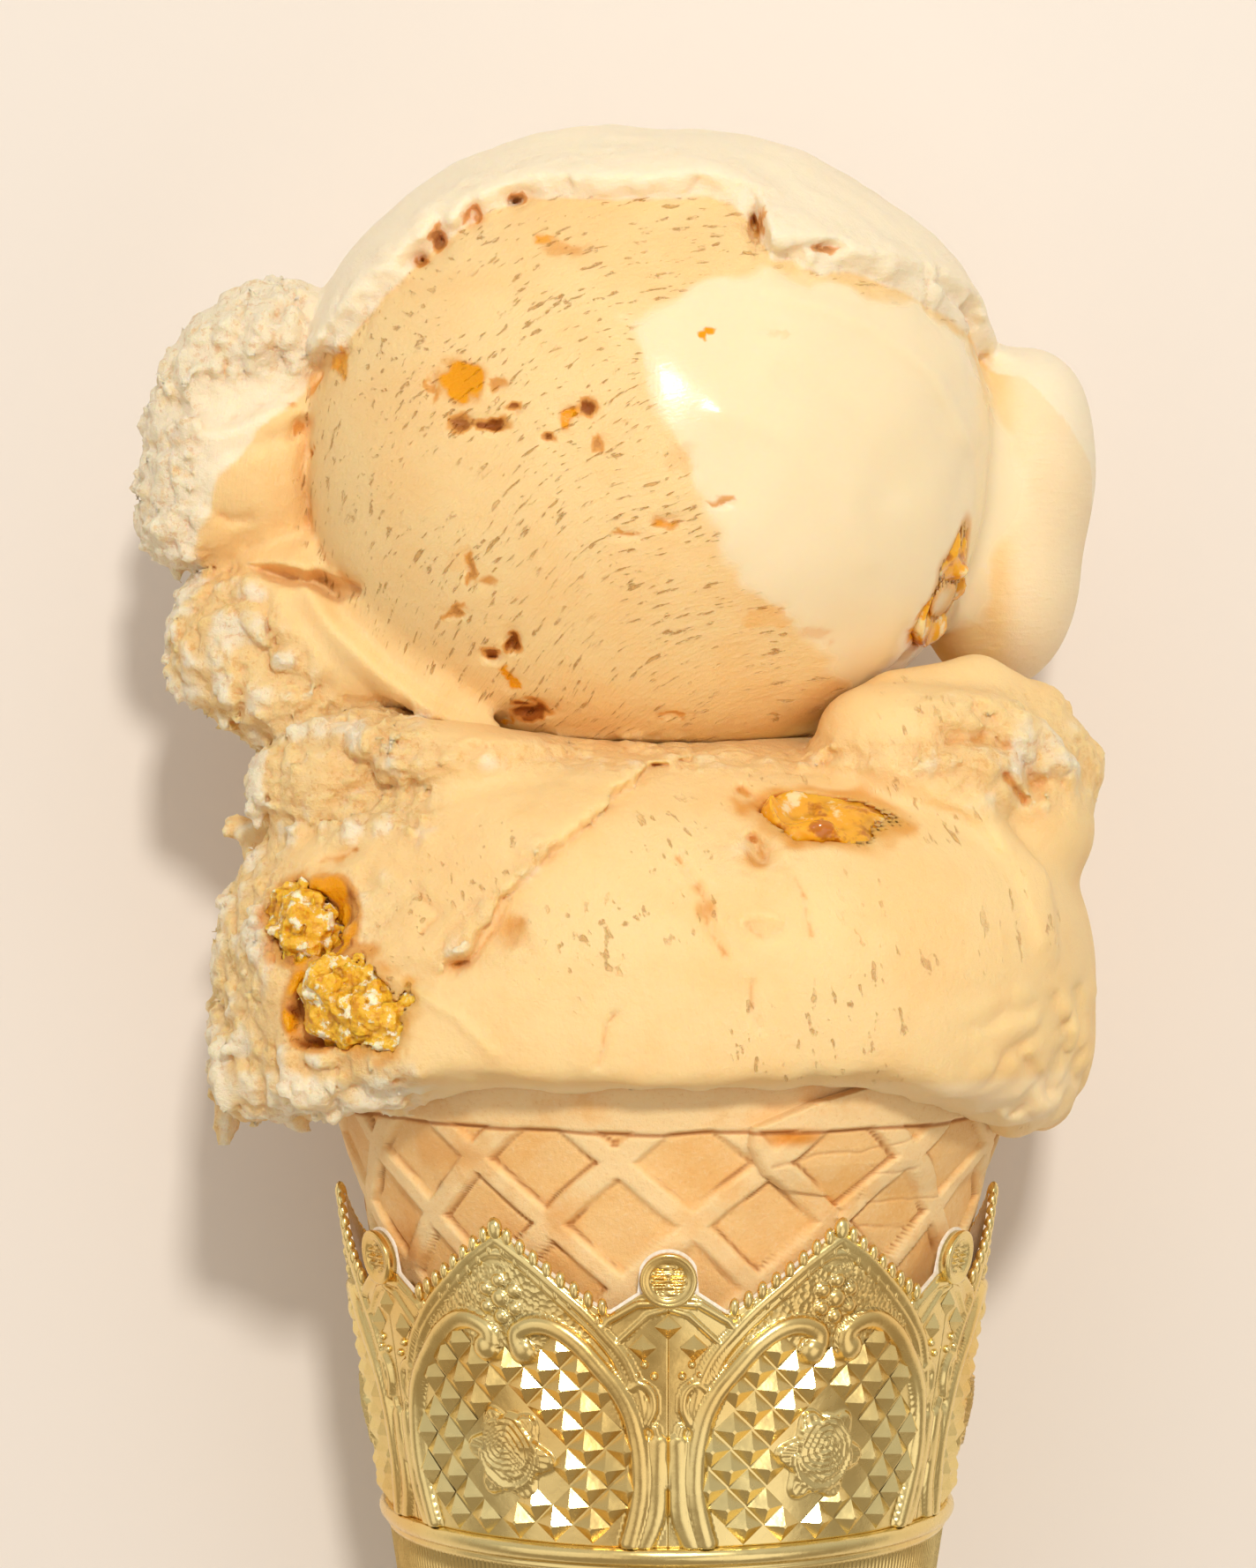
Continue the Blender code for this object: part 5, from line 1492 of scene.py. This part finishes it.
@dataclass
class FoilSleeve:
    """The foil sleeve: arches and finials over medallions, cords, reeds and a fluted point."""

    sectors: int = 6
    turn: float = -0.2
    foil: float = 0.2
    paper: float = 0.24
    cord_y: float = -57.5
    second_cord_y: float = -73.0
    tip_y: float = -144.0
    grid: float = 0.2
    # Half of the foil's edge between two arch tips: angle from the finial against Y
    edge: tuple = (
        (0.0, -32.0), (4.6, -32.2), (6.0, -32.7), (9.6, -34.0), (10.2, -34.2), (14.5, -32.9),
        (19.5, -31.0), (25.0, -28.6), (29.0, -26.9), (30.0, -26.7))
    # Whether it is measured from the arch's middle (or from the finial's), curve pieces,
    # half width, height, and path
    mouldings: tuple = (
        (True, 5, 0.6, 0.45, ((0.0, -27.6), (3.4, -29.8), (5.9, -31.9), (8.3, -34.0),
         (10.2, -36.1), (11.9, -38.3), (12.9, -41.0), (13.3, -44.0))),
        (True, 5, 0.4, 0.32, ((0.0, -28.9), (1.8, -29.4), (5.0, -32.1), (7.4, -34.3), (9.4, -36.3),
         (10.9, -38.3), (12.1, -41.1), (12.9, -43.4))), (True, 5, 1.0, 0.85, VOLUTE),
        (False, 1, 0.4, 0.4, ((0.0, -33.0), (2.9, -33.2), (5.6, -34.8), (6.4, -36.0))),
        (False, 1, 0.3, 0.3, ((0.0, -33.6), (1.9, -34.2), (4.6, -36.8))),
        (False, 5, 0.5, 0.5, ((3.4, -41.2), (2.6, -40.8), (1.6, -41.6), (1.4, -43.2),
         (2.0, -44.6))), (False, 5, 0.45, 0.4, ((0.0, -50.5), (0.5, -47.5), (1.2, -45.0))),
        (False, 5, 1.0, 0.55, ((0.9, -46.5), (1.0, -50.0), (1.2, -53.5), (2.4, -56.6))))
    volute_bulb: tuple[float, float, float] = (2.0, -38.0, 1.35)
    flower: tuple[float, float] = (0.1, -33.2)
    rose: tuple[float, float] = (-0.3, -48.2)
    finial_y: float = -30.85
    finial_radius: float = 31.7
    stud_step: float = 1.88
    stud_top_y: float = -39.6
    tooth_step: float = 1.36

    def radius(self, y: Any) -> Any:
        """Plain outer radius at a place along the sleeve."""
        share = np.clip((self.second_cord_y - y) / (self.second_cord_y - self.tip_y), 0.0, 1.0)
        cone = FOIL_RADIUS + (np.maximum(y, self.second_cord_y) - FOIL_RADIUS_Y) * FOIL_SLOPE
        return cone * (1.0 - share) ** 0.85

    def on_foil(self, angle: np.ndarray, y: np.ndarray, height: Any) -> np.ndarray:
        """Place points on the foil by angle in degrees, Y and height over it."""
        radius = self.radius(y) + height
        turn = np.radians(angle)
        return np.stack((radius * np.sin(turn), y + 0.0 * turn, radius * np.cos(turn)), -1)

    def edge_y(self, offset: np.ndarray) -> np.ndarray:
        """Y of the foil's edge by the angle from the arch's middle."""
        return np.interp(30.0 - np.abs(offset), *zip(*self.edge))

    def rose_height(self, a: np.ndarray, y: np.ndarray) -> np.ndarray:
        """Height of the rose with its petals and leaves."""
        dx, dy = a - self.rose[0], y - self.rose[1]
        away = np.hypot(dx, dy)
        turn = np.arctan2(dy, dx)
        leaf = 4.2 + 0.7 * np.cos(turn * 6.0 + 0.6)
        veins = 0.1 * np.abs(np.sin(turn * 18.0))
        height = (0.5 + veins) * (1.0 - rise(away, leaf - 0.5, leaf))
        up = np.hypot(dx * 1.05, dy - 0.9)
        spin = np.arctan2(dy - 0.9, dx)
        petal = 2.9 + 0.25 * np.cos(spin * 5.0)
        layers = (up / 0.62 + spin / (2.0 * math.pi) + 0.3 * np.sin(spin * 3.0)) % 1.0
        bloom = (0.7 + 0.35 * (1.0 - up / 3.0) + 0.34 * layers) * (up < petal)
        skirt = (np.hypot(dx, (dy - 0.4) * 0.85) / 0.8) % 1.0
        lower = (0.62 + 0.3 * skirt) * (np.hypot(dx, dy + 0.5) < 3.1) * (dy < 0.4)
        return np.maximum(height, np.maximum(bloom, lower))

    def height(self, a: np.ndarray, b: np.ndarray, y: np.ndarray) -> np.ndarray:
        """Height of the embossing over the plain foil.

        Args:
            a: Place across from the arch's middle, without a sign.
            b: Place across from the nearest finial's middle, without a sign.
            y: Place along the sleeve.

        Returns:
            The height in millimetres.
        """
        bulb_a, bulb_y, bulb_r = self.volute_bulb
        height = dome(np.hypot(a - bulb_a, y - bulb_y), bulb_r, 1.0)
        for from_arch, pieces, half, tall, path in self.mouldings:
            gap = path_gap(a if from_arch else b, y, smooth_path(path, pieces))
            height = np.maximum(height, dome(gap, half, tall))
        for k in range(7):
            spin = math.radians(k * 60.0 + 30.0)
            out = 0.0 if k == 6 else 1.72
            gap = np.hypot(a - out * abs(math.cos(spin)),
                           y - self.flower[1] - out * math.sin(spin))
            height = np.maximum(height, dome(gap, 0.95 if k == 6 else 0.74, 0.62))
        return height

    def panel(self, number: int, material: bpy.types.Material) -> bpy.types.Object:
        """Emboss one sixth of the foil, from the edge to the first cord."""
        middle = self.turn - 150.0 + 60.0 * number
        width = math.radians(60.0) * 30.0
        step = self.grid * 1.0
        offsets = np.linspace(-30.0, 30.0, int(width / step) // 2 * 2 + 1)
        shares = np.linspace(0.0, 1.0, int(31.0 / step))
        offset, share = np.meshgrid(offsets, shares)
        top = self.edge_y(offset)
        y = top + (self.cord_y + 0.9 - top) * share
        a = np.radians(offset) * self.radius(y)
        b = np.radians(30.0 - np.abs(offset)) * self.radius(y)
        height = np.maximum(self.height(np.abs(a), b, y), self.rose_height(a, y))
        height = height + 0.06 * noise((a, y, 0.0 * a + number * 40.0), 3.5, 52)
        shade = (height < 0.12) * (y < -30.0) * (y > -38.0) * (np.abs(a) < 9.0)
        outer = self.on_foil(middle + offset, y, height)
        inner = self.on_foil(middle + offset, y, height - self.foil)
        rows, columns = offset.shape
        count = rows * columns
        points = np.concatenate((outer.reshape(-1, 3), inner.reshape(-1, 3)))
        grid = np.arange(count).reshape(rows, columns)
        sheet = grid_faces(grid)
        rim = np.concatenate((grid[0], grid[1:, -1], grid[-1, -2::-1], grid[-2:0:-1, 0]))
        after = np.roll(rim, -1)
        wall = np.concatenate((np.stack((rim, after, after + count), 1),
                               np.stack((rim, after + count, rim + count), 1)))
        faces = np.concatenate((sheet, sheet[:, ::-1] + count, wall))
        mesh = facing_out(to_mesh(f"sleeve_panel_{number + 1}", points, faces))
        stored = np.concatenate((shade.ravel(), shade.ravel())).astype(float)
        set_value(mesh, "stipple", stored)
        return add_object(mesh.name, mesh, material)

    def frame_inside(self, a: float, y: float) -> bool:
        """Whether a stud fits inside the medallion's frame, clear of the rose."""
        outline = smooth_path(VOLUTE)
        limit = float(np.interp(y, *zip(*sorted((v, u) for u, v in outline[8:])))) - 1.0
        clear_of_bulb = math.hypot(abs(a) - 2.0, y + 38.0) > 2.0
        clear_of_rose = math.hypot(a - self.rose[0], y - self.rose[1]) > 4.9
        below_arch = y < -37.8 or abs(a) > 3.5
        return abs(a) < limit and y > self.cord_y + 1.4 and clear_of_rose and clear_of_bulb \
            and below_arch and y < -37.0

    def studs(self, finish: Finish) -> bpy.types.Object:
        """Set the pyramids in the medallions and under the finials."""
        spots = []
        for i in range(-8, 9):
            for j in range(-3, 12):
                a, y = self.stud_step * i, self.stud_top_y - self.stud_step * j
                if (i + j) % 2 == 0 and self.frame_inside(a, y):
                    spots.append((0.0, a, y, self.stud_step * 0.96, 0.85))
        spots += [(30.0, b, y, size, 0.8) for b, y, size in
                  ((0.0, -35.3, 1.3), (-2.4, -37.3, 1.35), (2.4, -37.3, 1.35))]
        rows = [(60.0 * k + base - 30.0, *rest) for k in range(self.sectors)
                for base, *rest in spots]
        return self.bed("pyramid_studs", Stud.PYRAMID, 4, rows, finish)

    def bed(self, name: str, stud: Stud, sides: int, rows: list, finish: Finish
            ) -> bpy.types.Object:
        """Turn rows of base angle, place across, Y, half width and height into studs."""
        base, across, y, half, height, *rest = (np.array(v) for v in zip(*rows))
        tall = rest[0] if rest else half
        angle = self.turn + base + np.degrees(across / self.radius(y))
        places = self.on_foil(angle, y, 0.0)
        lean = np.full(len(y), math.atan(FOIL_SLOPE))
        turns = np.stack((lean, np.radians(angle), 0.0 * lean), 1)
        sizes = np.stack((half, tall, height), 1)
        return StudBed(name, stud, sides).build(places, turns, sizes, finish, "foil_sleeve")

    def beads(self, finish: Finish) -> bpy.types.Object:
        """Set the toothed edge, the drops under it and the small beads under the finials."""
        rows = []
        for k in range(self.sectors):
            tip = 60.0 * k - 30.0
            rows.append((tip, 0.0, -26.6, 0.8, 0.6, 1.2))
            for side in (-1.0, 1.0):
                for n in range(1, 9):
                    offset = math.degrees(n * 1.28 / 32.4)
                    y = float(self.edge_y(np.array(offset)))
                    across = side * n * 1.28
                    rows.append((tip, across, y + 0.15, 0.5, 0.5, 0.95))
                    rows.append((tip, across - side * 0.55, y - 1.15, 0.36, 0.42, 0.72))
                for b, y in ((1.3, -40.0), (3.0, -39.9), (2.2, -38.9)):
                    rows.append((tip + 30.0, side * b, y, 0.42, 0.45, 0.42))
        return self.bed("edge_beads", Stud.BEAD, 12, rows, finish)

    def finial(self, number: int, material: bpy.types.Material) -> bpy.types.Object:
        """Press one round finial with two rims and ribs across it."""
        middle = self.turn + 60.0 * number
        ring = np.linspace(0.0, 2.0 * math.pi, 97)[:-1]
        aways = np.array((2.62, 2.62, 2.55, 2.45, 2.35, 2.25, 2.15, 2.05, 1.95, 1.85, 1.75, 1.6,
                          1.4, 1.2, 1.0, 0.8, 0.6, 0.4, 0.2))
        rings = []
        for i, away in enumerate(aways):
            b, y = away * np.cos(ring), self.finial_y + away * np.sin(ring)
            height = 0.45 + dome(away - 2.35, 0.32, 0.35) + dome(away - 1.9, 0.22, 0.25)
            ribs = 0.22 * np.cos((y - self.finial_y) * 2.0 * math.pi / 0.62) * (away < 1.6)
            height = np.full(len(ring), -self.foil) if i == 0 else height + ribs + 0.1
            angle = middle + np.degrees(b / self.finial_radius)
            rings.append(self.on_foil(angle, y, height))
        for height in (0.6, -self.foil):
            rings.append(self.on_foil(np.array([middle]), np.array([self.finial_y]), height))
        return solid(f"sleeve_finial_{number + 1}", rings, material)

    def lining(self, finish: Finish) -> bpy.types.Object:
        """Make the paper behind the foil, whose edge shows as a white line."""
        angles = np.linspace(-180.0, 180.0, 721)[:-1]
        offset = (angles - self.turn + 60.0) % 60.0 - 30.0
        away = np.radians(30.0 - np.abs(offset)) * self.finial_radius
        head = self.finial_y + np.sqrt(np.maximum(2.9 ** 2 - away ** 2, 0.0))
        line = np.where(away < 2.85, np.maximum(head, -32.2), self.edge_y(offset) + 0.35)
        bottom = np.full(len(angles), self.cord_y - 10.0)
        gap = self.foil + 0.02
        rings = [self.on_foil(angles, line, -gap), self.on_foil(angles, bottom, -gap),
                 self.on_foil(angles, bottom, -gap - self.paper),
                 self.on_foil(angles, line, -gap - self.paper)]
        item = solid("sleeve_lining", rings, finish.material(), smooth=False)
        return place(item, finish, "foil_sleeve")

    def point(self, material: bpy.types.Material) -> bpy.types.Object:
        """Make the reeded wall between the cords and the fluted point below them."""
        reeds = 320
        angles = np.linspace(0.0, 360.0, reeds * 4 + 1)[:-1]
        start = self.cord_y + 0.9
        levels = np.concatenate((np.arange(start, self.cord_y - 1.6, -0.15),
                                 np.arange(self.cord_y - 1.7, self.second_cord_y + 1.6, -1.6),
                                 np.arange(self.second_cord_y + 1.5,
                                           self.second_cord_y - 1.6, -0.15),
                                 np.linspace(self.second_cord_y - 2.0, self.tip_y + 1.0, 26)))
        rings = []
        for y in levels:
            cords = max(float(dome(y - self.cord_y, 0.95, 0.9)),
                        float(dome(y - self.second_cord_y, 0.95, 0.9)),
                        float(dome(y - self.cord_y + 1.3, 0.32, 0.3)))
            reed = 0.13 * np.cos(np.radians(angles * reeds)) * (cords == 0.0)
            flute = 0.0
            if y < self.second_cord_y:
                deep = float(rise(-y, -self.second_cord_y + 1.0, -self.second_cord_y + 12.0))
                flute = 0.45 * deep * np.cos(np.radians(angles * 36.0))
            radius = max(float(self.radius(y)), 0.4)
            relief = (reed + flute) * min(1.0, radius / 14.0) + cords
            rings.append(self.on_foil(angles, np.full(len(angles), y), relief))
        rings.append(np.array([(0.0, self.tip_y, 0.0)]))
        rings.append(np.array([(0.0, self.tip_y + 3.0, 0.0)]))
        for y in (-130.0, -112.0, -92.0, self.second_cord_y, start):
            rings.append(self.on_foil(angles, np.full(len(angles), y), -self.foil - 0.2))
        return solid("sleeve_point", rings, material)

    def build(self, foil: Finish, paper: Finish) -> None:
        """Make every piece of the sleeve and dress it."""
        material = foil.material()
        pieces = [self.panel(number, material) for number in range(self.sectors)]
        pieces += [self.finial(number, material) for number in range(self.sectors)]
        pieces.append(self.point(material))
        for piece in pieces:
            place(piece, foil, "foil_sleeve")
        self.studs(foil)
        self.beads(foil)
        self.lining(paper)


class Light(enum.Enum):
    """The studio's lamps: place in metres, width, height, power and colour."""

    KEY = ((0.06, 0.31, 0.80), 0.06, 0.06, 3.6, "fffaf4")
    FILL = ((-0.7, -0.2, 0.8), 0.9, 0.9, 1.4, "fdfbff")
    FRONT = ((0.5, -0.5, 0.9), 0.8, 0.8, 1.6, "fdfbff")


@dataclass
class Studio:
    """The floor, the lamps, the sky and the camera at the photo's angle."""

    look: Triple = (-3.85, 14.1, 0.0)
    tilt: float = 1.8
    distance: float = 451.0
    lens: float = 36.0 * (451.0 / 0.0875) / 1778.0
    floor_size: float = 4.0

    def build(self) -> None:
        """Set the studio up round the cone."""
        scene = bpy.context.scene
        half = self.floor_size / 2.0
        mesh = bpy.data.meshes.new("floor")
        mesh.from_pydata([(-half, -half, 0), (half, -half, 0), (half, half, 0),
                          (-half, half, 0)], [], [(0, 1, 2, 3)])
        floor = add_object("floor", mesh, StudioPaper().material(), smooth=False)
        for lamp in Light:
            place, width, height, power, colour = lamp.value
            data = bpy.data.lights.new(lamp.name.lower() + "_light", "AREA")
            data.shape = "RECTANGLE"
            data.size, data.size_y = width, height
            data.energy = power
            data.color = linear(colour)[:3]
            item = bpy.data.objects.new(data.name, data)
            item.location = place
            towards = Vector((0.0, 0.0, 0.03)) - Vector(place)
            item.rotation_euler = towards.to_track_quat("-Z", "Y").to_euler()
            scene.collection.objects.link(item)
        self.add_sky(scene)
        self.add_camera(scene)
        scene.view_settings.view_transform = "Standard"

    @staticmethod
    def add_sky(scene: bpy.types.Scene) -> None:
        """Light the scene from all round, brighter from above the picture's top."""
        world = bpy.data.worlds.new("studio")
        scene.world = world
        world.use_nodes = True
        tree = world.node_tree
        direction = add_node(tree, "ShaderNodeTexCoord", out="Generated")
        along = add_node(tree, "ShaderNodeSeparateXYZ", {}, {0: direction}, out="Y")
        colour = Finish.layers(tree, linear("c6b7a0"), ((along, -0.6, 0.75, 1.0, "ffffff"),))
        tree.links.new(colour, tree.nodes["Background"].inputs["Color"])
        tree.nodes["Background"].inputs["Strength"].default_value = 0.62

    def add_camera(self, scene: bpy.types.Scene) -> None:
        """Put the camera where the photo was taken from."""
        tilt = math.radians(self.tilt)
        back = Vector((0.0, math.sin(tilt), math.cos(tilt)))
        up = Vector((0.0, math.cos(tilt), -math.sin(tilt)))
        look = Vector(self.look) + Vector((0.0, 0.0, AXIS_HEIGHT))
        data = bpy.data.cameras.new("camera")
        data.sensor_fit = "VERTICAL"
        data.sensor_height = 36.0
        data.lens = self.lens
        camera = bpy.data.objects.new("camera", data)
        camera.location = (look + back * self.distance) * MM
        camera.rotation_euler = Matrix(
            [[1.0, up[0], back[0]], [0.0, up[1], back[1]], [0.0, up[2], back[2]]]).to_euler()
        scene.collection.objects.link(camera)
        scene.camera = camera


def main() -> None:
    """Build and dress every piece in order."""
    logging.basicConfig(level=logging.INFO, format="%(relativeCreated)6d %(message)s")
    Studio().build()
    ice_cream = IceCream()
    upper = UpperScoop()
    upper.build(ice_cream)
    LowerScoop(upper=upper).build(ice_cream)
    for chunk in CHUNKS:
        chunk.build(Honeycomb() if chunk.porous else Caramel())
    WaffleCone().build(WaffleBiscuit())
    FoilSleeve().build(GoldFoil(), LiningPaper())
    LOG.info("sizes written")


if __name__ == "__main__":
    main()
